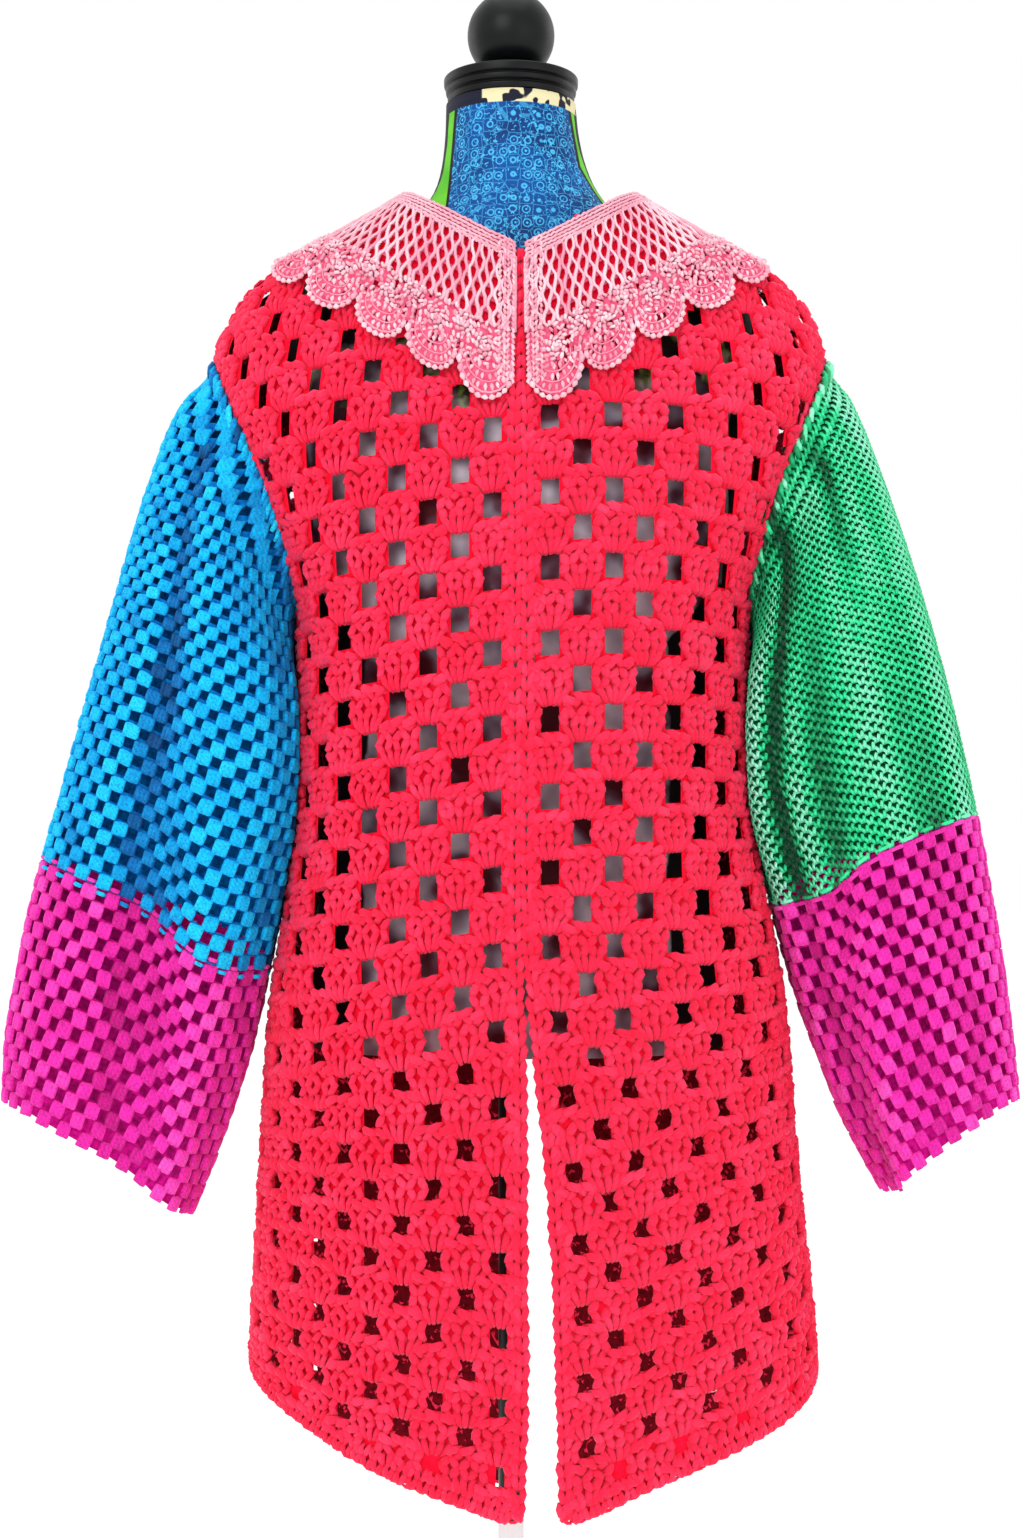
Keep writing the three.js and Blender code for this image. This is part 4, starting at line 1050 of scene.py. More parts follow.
PANELS = {}
RED_PIECES = {}
total_tris = {}
for which, side, label in (("front", -1, "front_right"), ("front", 1, "front_left"), ("back", -1, "back_right"), ("back", 1, "back_left")):
    panel = Panel(which, side)
    PANELS[label] = panel
    y = Yarn()
    s0, r0 = centres(panel)
    p0, _ = panel.chart.at(s0, r0)
    smax = panel.side_s(p0[:, 2]) + 26
    sel = (s0 < smax) & (r0 < panel.hem(s0) + 0.5)
    s0, r0 = s0[sel], r0[sel]
    p0, _ = panel.chart.at(s0, r0)
    press = pressed(p0)
    for kind in ("fan", "body", "chain"):
        lay(panel, y, s0, r0, CLUSTER[kind], 3 if kind == "fan" and which == "back" else SIDES[kind], 0.75 if kind == "body" else 0.35, panel.inside, press)
    # bands on the opening edge
    z_lo = panel.hem(np.array([4.0]))[0] - 2.0 / panel.row_mm
    if which == "front":
        top_row = np.interp(-1386.0, -panel.chart.p[3, :, 2], panel.rows)
    else:
        top_row = np.interp(-1420.0, -panel.chart.p[3, :, 2], panel.rows)
    nb = int((z_lo - top_row) * panel.row_mm / 10.6)
    rb = top_row + (np.arange(nb) + 0.5) * (z_lo - top_row) / nb
    d = np.tile(np.array([0.0, 1.0]), (nb, 1))
    vee_band(panel, y, np.full(nb, BAND * 0.5 - 0.8) + rng.normal(0, 0.2, nb), rb, d, BAND * 1.05, 11.5, lift=1.6)
    # two rounds along the hem
    sl = float(panel.side_s(500.0))
    for rnd, off in enumerate((4.2, 12.6)):
        nh = int(sl / 8.4)
        sh = (np.arange(nh) + 0.5 + 0.25 * rnd) * (sl / nh)
        rh = panel.hem(sh) - off / panel.row_mm
        da = panel.hem(sh + 2) - panel.hem(sh - 2)
        d = np.stack([np.full(nh, 4.0), -da * panel.row_mm], -1)
        d /= np.linalg.norm(d, axis=1, keepdims=True)
        up = np.stack([-d[:, 1], d[:, 0]], -1)
        vee_band(panel, y, sh, rh, up, 8.6, 9.6, lift=1.6)
    # the hem's outer chain
    nh = int(sl / 9.6)
    sh = (np.arange(nh) + 0.5) * (sl / nh)
    da = panel.hem(sh + 2) - panel.hem(sh - 2)
    d = np.stack([np.full(nh, 4.0), -da * panel.row_mm], -1)
    d /= np.linalg.norm(d, axis=1, keepdims=True)
    vee_band(panel, y, sh, panel.hem(sh) - 1.0 / panel.row_mm, d, 5.8, 10.6, lift=0.8)
    seam_braids(y, which, side)
    stitches = y.mesh(label + "_stitches", RED)
    total_tris[label] = y.triangles()
    core = panel_core(panel, label + "_cloth")
    RED_PIECES[label] = (core, stitches)
    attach(core, "root")
    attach(stitches, "root")
    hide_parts(label)
print("triangles", total_tris)

# ---- sleeves -------------------------------------------------------------------------------------
SLEEVES = {
    -1: dict(
        name="right",
        join=0.68,
        rings=[  # at, outX, outZ, inX, inZ, front, back, y
            (0.0, 238, 1317, 175, 1127, 53, 53, 0), (0.08, 268, 1272, 168, 1085, 66, 60, 0), (0.2, 293, 1203, 154, 1045, 80, 68, -1),
            (0.33, 314, 1129, 148, 1004, 84, 70, -2), (0.45, 335, 1055, 152, 962, 80, 68, -3), (0.57, 354, 986, 170, 908, 70, 62, -4),
            (0.68, 370, 930, 190, 849, 62, 58, -4), (0.76, 381, 886, 204, 800, 60, 57, -4), (0.84, 390, 838, 220, 752, 60, 56, -4),
            (0.92, 398, 789, 238, 702, 61, 57, -4), (1.0, 400, 741, 257, 655, 62, 58, -4),
        ],
        folds=[  # kind, top, mid, low, width, shoulder, elbow, cuff
            ("step", 0.19, 0.25, 0.36, 0.026, 4, 10, 9), ("ridge", 0.12, 0.1, 0.1, 0.05, -6, -4, -2), ("ridge", 0.16, 0.205, 0.28, 0.026, -6, -7, -6),
            ("ridge", 0.34, 0.39, 0.44, 0.045, -7, -9, -4), ("ridge", 0.62, 0.61, 0.6, 0.045, -4, -8, -6), ("ridge", 0.72, 0.73, 0.74, 0.035, 5, 7, 5),
            ("ridge", 0.82, 0.84, 0.85, 0.04, -5, -9, -7),
        ],
        hang=[(0, 0, 0), (0.35, 0, -9), (0.68, 4, -18), (1, 15, 6)],
    ),
    1: dict(
        name="left",
        join=0.61,
        rings=[
            (0.0, 238, 1317, 178, 1127, 53, 53, 0), (0.08, 260, 1276, 171, 1088, 66, 60, 0), (0.19, 285, 1210, 158, 1052, 80, 68, -1),
            (0.31, 308, 1140, 153, 1016, 84, 70, -2), (0.42, 327, 1074, 157, 979, 82, 70, -3), (0.52, 342, 1013, 172, 938, 76, 67, -4),
            (0.61, 353, 962, 190, 896, 70, 64, -4), (0.71, 363, 905, 208, 842, 67, 62, -4), (0.81, 372, 850, 229, 785, 67, 62, -4),
            (0.9, 379, 795, 252, 725, 68, 64, -4), (1.0, 384, 741, 281, 668, 68, 66, -4),
        ],
        folds=[
            ("step", 0.22, 0.275, 0.4, 0.026, -2, -7, -12), ("ridge", 0.19, 0.23, 0.24, 0.024, -6, 3, 4), ("ridge", 0.28, 0.37, 0.46, 0.03, -8, -9, -3),
            ("ridge", 0.1, 0.12, 0.13, 0.04, 4, 4, 3), ("ridge", 0.61, 0.62, 0.63, 0.04, -4, -7, -8), ("ridge", 0.72, 0.72, 0.72, 0.035, 4, 7, 6),
            ("ridge", 0.83, 0.82, 0.82, 0.04, -5, -9, -8),
        ],
        hang=[(0, 0, 0), (0.3, 4, -4), (0.61, 11, -9), (1, 22, -2)],
    ),
}
SLEEVE_LENGTH = 640.0
SLEEVE_CLEAR = 3 + 1 + 1.5


def wrap_turn(u):
    return u - np.round(u)


class Sleeve:
    """A sleeve's surface: v goes round it from the seam under the arm by way of the back, t from shoulder to cuff."""

    def __init__(self, side):
        spec = SLEEVES[side]
        self.side, self.join = side, spec["join"]
        r = np.array(spec["rings"], float)
        out_x, out_z, in_x, in_z, front, back, yy = (mono(r[:, 0], r[:, k]) for k in range(1, 8))
        hg = np.array(spec["hang"], float)
        outer, inner_hang = mono(hg[:, 0], hg[:, 1]), mono(hg[:, 0], hg[:, 2])

        def place(f, t):
            low = np.maximum((t - 0.5) / 0.5, 0) ** 1.3
            return np.where(t < 0.5, f[1] + (f[2] - f[1]) * t / 0.5, f[2] + (f[3] - f[2]) * low)

        def depth(f, t):
            return np.where(t < 0.5, f[5] + (f[6] - f[5]) * smooth(t / 0.5), f[6] + (f[7] - f[6]) * smooth((t - 0.5) / 0.5))

        def raw(w, t):
            c, s = np.cos(w), np.sin(w)
            p = 2 / 2.25
            cc, ss = np.sign(c) * np.abs(c) ** p, np.sign(s) * np.abs(s) ** p
            cx, cz = (out_x(t) + in_x(t)) / 2, (out_z(t) + in_z(t)) / 2
            hx, hz = (out_x(t) - in_x(t)) / 2, (out_z(t) - in_z(t)) / 2
            d = np.where(s > 0, front(t), back(t))
            return np.stack([cx + hx * cc, yy(t) - d * ss, cz + hz * cc], -1)

        def point(u, t):
            w = 2 * math.pi * u
            p = raw(w, t)
            tan = unit(raw(w + 0.02, t) - raw(w - 0.02, t))
            axis = unit(np.stack([out_z(t) - in_z(t), 0 * t, -(out_x(t) - in_x(t))], -1))
            out = np.cross(axis, tan)
            mid = np.stack([(out_x(t) + in_x(t)) / 2, yy(t), (out_z(t) + in_z(t)) / 2], -1)
            out = out * np.where(np.sum(out * (p - mid), -1, keepdims=True) < 0, -1.0, 1.0)
            d = 0.0
            enter = smooth(t / 0.08)
            for f in spec["folds"]:
                x = wrap_turn(u - place(f, t)) / f[4]
                amp = depth(f, t) * enter
                d = d + (amp * np.tanh(x) * np.exp(-((x / 4.5) ** 2)) if f[0] == "step" else amp * np.exp(-x * x))
            p = p + out * np.asarray(d)[..., None]
            main = spec["folds"][0]
            inner = 0.5 + 0.5 * np.tanh(wrap_turn(u - place(main, t)) / main[4])
            p[..., 2] += np.maximum(0, np.sin(w)) * (outer(t) * (1 - inner) + inner_hang(t) * inner)
            half = body_half(side, p[..., 1], p[..., 2])
            lean = 1 + 0.55 * np.minimum(1, np.abs(p[..., 1]) / 110) ** 2
            ang = np.arctan2(side * half, -p[..., 1])
            least = half + SLEEVE_CLEAR * lean + 1.6 * smooth(t / 0.1) + np.maximum(0, body_fold(ang, p[..., 2]))
            past = (p[..., 0] - least) / 6.0
            x = np.where(past > 12, p[..., 0], least + 6.0 * np.log1p(np.exp(np.minimum(past, 12.5))))
            x = np.where(t < 0.06, least + (x - least) * smooth(t / 0.06), x)
            return np.stack([GARMENT_X + side * x, p[..., 1], p[..., 2]], -1)

        tg = np.linspace(0, 1, 161)
        fine = 0.5 + np.arange(721) / 720.0
        uu, tt = np.meshgrid(fine, tg, indexing="ij")
        pts = point(uu, tt)
        seg = np.linalg.norm(np.diff(pts, axis=0), axis=-1)
        length = np.concatenate([np.zeros((1, len(tg))), np.cumsum(seg, axis=0)], axis=0)
        self.girth = length[-1]
        n = 240
        share = np.arange(n) / n
        even = np.empty((n, len(tg), 3))
        for j in range(len(tg)):
            for k in range(3):
                even[:, j, k] = np.interp(share * length[-1, j], length[:, j], pts[:, j, k])
        mid = even.mean(axis=0, keepdims=True)
        self.chart = Chart(share, tg, even, even - mid, wrap=True)
        # how far each place stands above (ridge) or below (valley) the sleeve's smooth shape
        k = 14
        pad = np.concatenate([even[-k:], even, even[:k]], axis=0)
        w = np.hanning(2 * k + 3)[1:-1]
        w = w / w.sum()
        soft = sum(w[i] * pad[i : i + n] for i in range(2 * k + 1))
        rel = np.sum((even - soft) * self.chart.n, -1)
        rel = rel - np.mean(rel, axis=0, keepdims=True)
        self.relief = rel / (np.std(rel) * 2.2)
        # length down the sleeve along its middle
        down = np.concatenate([[0], np.cumsum(np.linalg.norm(np.diff(even.mean(0), axis=0), axis=-1))])
        self.length = down[-1]
        self.tg = tg
        # the crochet's rows: square across the sleeve at the top, along the rings lower down
        centre = even.mean(axis=0)
        axis = unit(centre[int(0.6 * 160)] - centre[0])
        off = np.sum((even - centre[None]) * axis, -1) / self.length
        self.rho = tg[None] + (1 - smooth((tg - 0.12) / 0.5))[None] * off
        self.rho_grid = np.linspace(-0.3, 1.0, 391)
        inv = np.empty((n, len(self.rho_grid)))
        for i in range(n):
            inv[i] = np.interp(self.rho_grid, self.rho[i], tg)
            under = self.rho_grid < self.rho[i, 0]
            inv[i, under] = self.rho_grid[under] - self.rho[i, 0]
        self.inv = inv
        self.first = int(math.floor(self.rho[:, 0].min() * 1000)) / 1000.0

    def row_t(self, v, rho):
        """The t at which the crochet's row coordinate is rho, at v; below 0 past the armhole."""
        n = self.inv.shape[0]
        x = np.mod(v, 1.0) * n
        i = np.floor(x).astype(int) % n
        fx = x - np.floor(x)
        y = np.clip((rho - self.rho_grid[0]) / (self.rho_grid[1] - self.rho_grid[0]), 0, len(self.rho_grid) - 1.001)
        j = np.floor(y).astype(int)
        fy = y - j
        k = (i + 1) % n
        return (self.inv[i, j] * (1 - fy) + self.inv[i, j + 1] * fy) * (1 - fx) + (self.inv[k, j] * (1 - fy) + self.inv[k, j + 1] * fy) * fx

    def frame(self, v, rho):
        """t, vectors along v and t, and the square frame of the crochet with its step sizes."""
        t = self.row_t(v, rho)
        tc = np.clip(t, 0.004, 0.996)
        dv, dt = 0.004, 0.004
        V = (self.chart.at(v + dv, tc)[0] - self.chart.at(v - dv, tc)[0]) / (2 * dv)
        T = (self.chart.at(v, tc + dt)[0] - self.chart.at(v, tc - dt)[0]) / (2 * dt)
        t1 = self.row_t(v + 0.01, rho)
        t0 = self.row_t(v - 0.01, rho)
        R = V + T * ((t1 - t0) / 0.02)[..., None]
        drow = (self.row_t(v, rho + 0.01) - self.row_t(v, rho - 0.01)) / 0.02
        x_, z_ = unit(R), -unit(T)
        dot = np.sum(x_ * z_, -1, keepdims=True)
        xx, zz = unit(x_ - 0.5 * dot * z_), unit(z_ - 0.5 * dot * x_)
        return t, V, T, xx, zz, np.linalg.norm(R, axis=-1), np.linalg.norm(T, axis=-1) * drow

    def offset(self, V, T, d):
        """The steps in v and t that make the offset d."""
        vv, tt, vt = np.sum(V * V, -1), np.sum(T * T, -1), np.sum(V * T, -1)
        a, b = np.sum(d * V, -1), np.sum(d * T, -1)
        det = vv * tt - vt * vt
        return (a * tt - b * vt) / det, (b * vv - a * vt) / det


def shade_against_body(sleeve, v, t):
    """1 where the sleeve lies in the shade against the body, 0 clear of it; the yarn's tone is lowered by it as
    painted shade.
    """
    p, _ = sleeve.chart.at(v, np.clip(t, 0, 1))
    gap_ = sleeve.side * (p[..., 0] - GARMENT_X) - body_half(sleeve.side, p[..., 1], p[..., 2])
    return (1 - smooth((gap_ - 6) / 24)) * smooth((1225 - p[..., 2]) / 70)


def fold_shading(sleeve, v, t):
    """Painted light on the ridges of the sleeve's folds, painted shade in the valleys; about 0."""
    n, m = sleeve.relief.shape
    i = np.mod(np.round(v * n).astype(int), n)
    j = np.clip(np.round(t * (m - 1)).astype(int), 0, m - 1)
    return np.clip(sleeve.relief[i, j], -1, 1)


BLOCK_X = np.array([-0.5, -0.46, -0.31, -0.165, 0.0, 0.165, 0.31, 0.46, 0.5])
BLOCK_RIDGE = np.array([-0.3, 0.78, 1.0, 0.66, 1.0, 0.66, 1.0, 0.78, -0.3])
BLOCK_Z = np.array([0.5, 0.43, 0.0, -0.43, -0.5])
BLOCK_RISE = np.array([-0.3, 0.86, 1.0, 0.86, -0.3])


def sleeve_blocks(sleeve, yarn, columns, t0, t1, rows, start=0, wide=0.6, tall=1.08, puff=2.7, shade=0.34):
    """Checkerboard crochet: puffed blocks of three upright posts, each over a hole of the row above."""
    pitch = (t1 - t0) / rows
    first = int(math.floor(min(0.0, sleeve.first) / pitch)) if t0 < 0.1 else 0
    r = np.repeat(np.arange(first, rows), columns)
    c = np.tile(np.arange(columns), rows - first)
    v0 = (c + 0.5 * ((r + start) % 2)) / columns
    rho = t0 + (r + 0.5) * pitch
    tc, V, T, xx, zz, along, down = sleeve.frame(v0, rho)
    keep = tc > t0 + 0.3 * pitch
    r, c, v0, rho, tc, V, T, xx, zz, along, down = (q[keep] for q in (r, c, v0, rho, tc, V, T, xx, zz, along, down))
    n = len(v0)
    cell = np.clip(along / columns, 9, 40)
    row_mm = np.clip(down * pitch, 6, 20)
    _, nn = sleeve.chart.at(v0, tc)
    far = smooth((nn[:, 1] - 0.1) / 0.5)
    shape = (n, len(BLOCK_X), len(BLOCK_Z))
    pull = 1 - 0.10 * (np.abs(BLOCK_Z) > 0.45)[None, None, :] - 0.02 * (np.abs(BLOCK_Z) > 0.3)[None, None, :]
    pull2 = 1 - 0.10 * (np.abs(BLOCK_X) > 0.48)[None, :, None]
    w = (wide * (1 + 0.1 * far) * cell * rng.uniform(0.95, 1.05, n))[:, None, None]
    h = (tall * row_mm * rng.uniform(0.97, 1.03, n))[:, None, None]
    lean = rng.normal(0, 0.05, n)[:, None, None]
    turn = rng.normal(0, 0.05, n)[:, None, None]
    bx, bz = BLOCK_X[None, :, None], BLOCK_Z[None, None, :]
    x = bx * pull * w + lean * bz * h + rng.normal(0, 0.25, n)[:, None, None] + rng.normal(0, 0.10, shape)
    z = bz * pull2 * h + turn * bx * w + rng.normal(0, 0.2, n)[:, None, None] + rng.normal(0, 0.10, shape)
    ridge = BLOCK_RIDGE[None, :, None] + rng.normal(0, 0.07, shape) * (BLOCK_RIDGE > 0)[None, :, None]
    up = np.minimum(ridge, 2) * BLOCK_RISE[None, None, :]
    edge = (BLOCK_RIDGE < 0)[None, :, None] | (BLOCK_RISE < 0)[None, None, :]
    up = np.where(edge, -0.25, up)
    hh = up * (puff * rng.uniform(0.9, 1.1, n))[:, None, None]
    d = x[..., None] * xx[:, None, None, :] + z[..., None] * zz[:, None, None, :]
    sv, st = sleeve.offset(V[:, None, None, :], T[:, None, None, :], d)
    v = v0[:, None, None] + sv
    t = np.clip(tc[:, None, None] + st, t0 - 0.1 * pitch if t0 > 0.1 else 0.0, 1.0)
    p, _ = sleeve.chart.point(v, t, hh)
    # painted light on the fold ridges and painted shade in the fold valleys, over a random tone per block
    tone = rng.uniform(0, 1, n)[:, None, None] * 0.22 + 0.39 + shade * fold_shading(sleeve, v0, tc)[:, None, None]
    # painted highlight on the raised posts, painted shade on each block's sunken rim and against the body
    tone = tone + 0.16 * (np.clip(up, 0, 1) - 0.75) - 0.36 * shade_against_body(sleeve, v0, tc)[:, None, None]
    uv = np.stack(np.meshgrid(BLOCK_X * 0.9, BLOCK_Z * 1.4, indexing="ij"), -1)
    yarn.grid(p, nn, np.broadcast_to(tone, shape), uv)


def join_bars(sleeve, yarn, t, columns, shift, reach=0.3, radius=1.7, lift=1.5):
    """Short bars round the sleeve where one colour is worked into the other."""
    v0 = (np.arange(columns) + shift) / columns
    n = len(v0)
    x = np.array([-1.0, -0.55, 0.55, 1.0])[None, :] * reach / columns
    h = np.array([-0.4, 1.0, 1.0, -0.4])[None, :] * lift + rng.normal(0, 0.2, (n, 1))
    tt = t + rng.normal(0, 0.7, (n, 1)) / sleeve.length + np.zeros((n, 4))
    p, nn = sleeve.chart.point(v0[:, None] + x, tt, h)
    rad = np.array([0.7, 1.0, 1.0, 0.7])[None, :] * radius * rng.uniform(0.9, 1.1, (n, 1))
    # the bars' tone is painted light and shade of the folds
    yarn.add(p, nn, rad, 5, flat=0.85, tone=np.clip(0.6 + 0.3 * fold_shading(sleeve, v0, np.full(n, t)), 0, 1))


def gathers(sleeve, yarn, t, count, reach, radius):
    """The sleeve's top, drawn up into small puckers where it is sewn to the armhole."""
    v0 = (np.arange(count) + rng.uniform(-0.25, 0.25, count)) / count
    q = np.array([-1.0, -0.4, 0.3, 1.0])
    h = np.array([0.2, 2.6, 2.2, -0.2])[None, :] + rng.normal(0, 0.5, (count, 1))
    lean = rng.normal(0, 1.3, (count, 1))
    tt = np.clip(t + (q[None, :] * reach * rng.uniform(0.75, 1.2, (count, 1))) / sleeve.length, 0, 1)
    v = v0[:, None] + lean * q[None, :] / sleeve.girth[0]
    p, nn = sleeve.chart.point(v, tt, h)
    rad = np.array([0.75, 1.0, 1.0, 0.7])[None, :] * radius * rng.uniform(0.85, 1.15, (count, 1))
    yarn.add(p, nn, rad, 5, flat=0.9)


def perforated_tube(sleeve, name, t0, t1, columns, rows, hole_w, hole_h, material, start=0, end=None, inset=0.3, tuck=False):
    """The sleeve's cloth: a thin sheet with the crochet's holes. hole_w and hole_h are shares of the cell."""
    pitch = (t1 - t0) / rows
    full = hole_h >= 1.0
    nv = 4 * columns
    k = np.arange(2 * columns)
    centre_v = (k * 0.5)[:, None] / columns
    first = int(math.floor(min(0.0, sleeve.first) / pitch)) - 1 if t0 < 0.1 else 0
    start_at = t0 + first * pitch
    ts, mids, tk = [start_at], [start_at], []
    for r in range(first, rows):
        m = t0 + (r + 0.5) * pitch
        if full:
            ts += [t0 + (r + 1) * pitch]
            mids += [m]
            tk += [r]
        else:
            ts += [m - hole_h / 2 * pitch, m + hole_h / 2 * pitch]
            mids += [m, m]
            tk += [None, r if end is None or r < rows - 2 else None]
    end = t1 if end is None else end
    if not full:
        ts.append(end)
        mids.append(end)
        tk.append(None)
    ts, mids = np.array(ts), np.array(mids)
    nt = len(ts)
    vv = np.empty((nv, nt))
    tt = np.empty((nv, nt))
    wide_v = np.broadcast_to(centre_v, (len(k), nt))
    mid_t = sleeve.row_t(wide_v, np.broadcast_to(mids[None], (len(k), nt)))
    _, nn = sleeve.chart.at(wide_v, np.clip(mid_t, 0, 1))
    # open where it faces forward, closing round the sides: the back is worked close
    less = 1 - smooth((nn[..., 1] + 0.42) / 0.34)
    for s_, sign in ((0, -1), (1, 1)):
        vv[s_::2] = centre_v + sign * hole_w / 2 / columns * np.maximum(less, 0.35)
        tt[s_::2] = ts[None] if full else mids[None] + (ts - mids)[None] * np.maximum(less, 0.35)
    tt = np.clip(sleeve.row_t(vv, tt), t0, end)
    tt[:, -1] = end
    p, n = sleeve.chart.at(vv, tt)
    p = p - n * inset
    if tuck:
        # the first edge passes behind the piece above
        p0_, n0_ = sleeve.chart.at(vv[:, 0], np.full(nv, t0 - 2.2 / sleeve.length))
        p[:, 0] = p0_ - n0_ * (inset + 1.1)
    faces = []
    for i in range(nv):
        i2 = (i + 1) % nv
        for j in range(nt - 1):
            if tt[i, j + 1] - tt[i, j] < 1e-5 and tt[i2, j + 1] - tt[i2, j] < 1e-5:
                continue
            if i % 2 == 0 and tk[j] is not None and ((i // 2) % 2) == ((tk[j] + start + 1) % 2):
                if less[i // 2, j + 1] > 0.3 and min(tt[i, j], tt[i2, j]) > t0 + 1e-5:
                    continue
            faces.append([i * nt + j, i2 * nt + j, i2 * nt + j + 1, i * nt + j + 1])
    used = np.unique(np.array(faces).ravel())
    remap = -np.ones(nv * nt, int)
    remap[used] = np.arange(len(used))
    return surface_mesh(name, p.reshape(-1, 3)[used], [[remap[q] for q in f] for f in faces], material)


# the sleeve yarns' darkest stop is painted shade against the body
BLUE = yarn_material("blue_yarn", srgb(0, 110, 184), srgb(0, 184, 250), srgb(36, 220, 255), 2.2, 3.0, 1300.0, 0.5, sheen=0.1, sheen_tint=srgb(150, 230, 255), tone_share=0.95, patch_share=0.35, ply_groove_shade=0.8, body_shade_color=srgb(0, 44, 92), speck=0.24)
MAGENTA = yarn_material("magenta_yarn", srgb(200, 12, 130), srgb(246, 40, 176), srgb(255, 104, 212), 2.2, 3.0, 1300.0, 0.5, sheen=0.3, sheen_tint=srgb(255, 180, 238), tone_share=0.9, patch_share=0.35, ply_groove_shade=0.8, body_shade_color=srgb(96, 0, 58), speck=0.2)
GREEN = yarn_material("green_yarn", srgb(0, 164, 98), srgb(34, 236, 156), srgb(160, 255, 220), 2.6, 3.0, 1500.0, 0.4, rough=0.42, sheen=0.12, sheen_tint=srgb(150, 255, 215), spec=0.4, tone_share=1.0, patch_share=0.3, ply_groove_shade=0.85, body_shade_color=srgb(0, 62, 36), speck=0.12)
BLUE_CORE = core_material("blue_core", srgb(0, 120, 196), srgb(0, 68, 136))
MAGENTA_CORE = core_material("magenta_core", srgb(204, 10, 136), srgb(140, 0, 84))
GREEN_CORE = core_material("green_core", srgb(2, 146, 84), srgb(0, 92, 50))

BLUE_COLS, BLUE_ROWS = 27, 34
MAG_COLS, MAG_ROWS_R, MAG_ROWS_L = 27, 16, 19
GREEN_COLS, GREEN_ROWS = 50, 80


def diamond_mesh(sleeve, yarn, columns, rows, t0, t1):
    """Close trellis of small V's, with a hole between each pair of neighbours in a row."""
    pitch = (t1 - t0) / rows
    first = int(math.floor(min(0.0, sleeve.first) / pitch))
    r = np.repeat(np.arange(first, rows), columns)
    c = np.tile(np.arange(columns), rows - first)
    v0 = (c + 0.5 * (r % 2)) / columns
    rho = t0 + (r + 0.5) * pitch
    tc, V, T, xx, zz, along, down = sleeve.frame(v0, rho)
    keep = tc > t0 + 0.3 * pitch
    r, v0, tc, V, T, xx, zz, along, down = (q[keep] for q in (r, v0, tc, V, T, xx, zz, along, down))
    n = len(v0)
    cell = np.clip(along / columns, 4, 12)
    row_mm = np.clip(down * pitch, 3.5, 9)
    base = rng.uniform(0, 1, n)
    for sign in (-1, 1):
        xs = sign * np.array([0.26, 0.11, 0.10])
        zs = np.array([0.72, 0.02, -0.66])
        hs = np.array([0.6, 1.3, 0.2])
        x = xs[None, :] * cell[:, None] + rng.normal(0, 0.16, (n, 3))
        z = zs[None, :] * row_mm[:, None] + rng.normal(0, 0.16, (n, 3))
        d = x[..., None] * xx[:, None, :] + z[..., None] * zz[:, None, :]
        sv, st = sleeve.offset(V[:, None, :], T[:, None, :], d)
        t = np.clip(tc[:, None] + st, 0, t1 + 0.002)
        p, nn = sleeve.chart.point(v0[:, None] + sv, t, np.broadcast_to(hs[None, :], x.shape) + rng.normal(0, 0.12, (n, 1)))
        radius = np.array([0.13, 0.14, 0.124])[None, :] * cell[:, None] * rng.uniform(0.92, 1.08, (n, 1))
        # painted stripes of light and shade running along the sleeve, as from folds
        painted_fold_stripes = np.sin(2 * math.pi * (v0 * 8 + 0.35 * np.sin(5 * tc)) + 1.0) * np.sin(2 * math.pi * (v0 * 3 - 0.3 * tc))
        # painted shade against the body, with the painted fold light and shade and stripes, over a random tone
        tone = 0.40 + 0.10 * base + 0.14 * rng.uniform(0, 1, n) + 0.55 * fold_shading(sleeve, v0, tc) + 0.14 * painted_fold_stripes - 0.4 * shade_against_body(sleeve, v0, tc)
        yarn.add(p, nn, radius, 3, flat=0.8, tone=np.clip(tone, 0, 1))


def finish_piece(core, stitches, node):
    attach(core, "root")
    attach(stitches, "root")
    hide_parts(node)


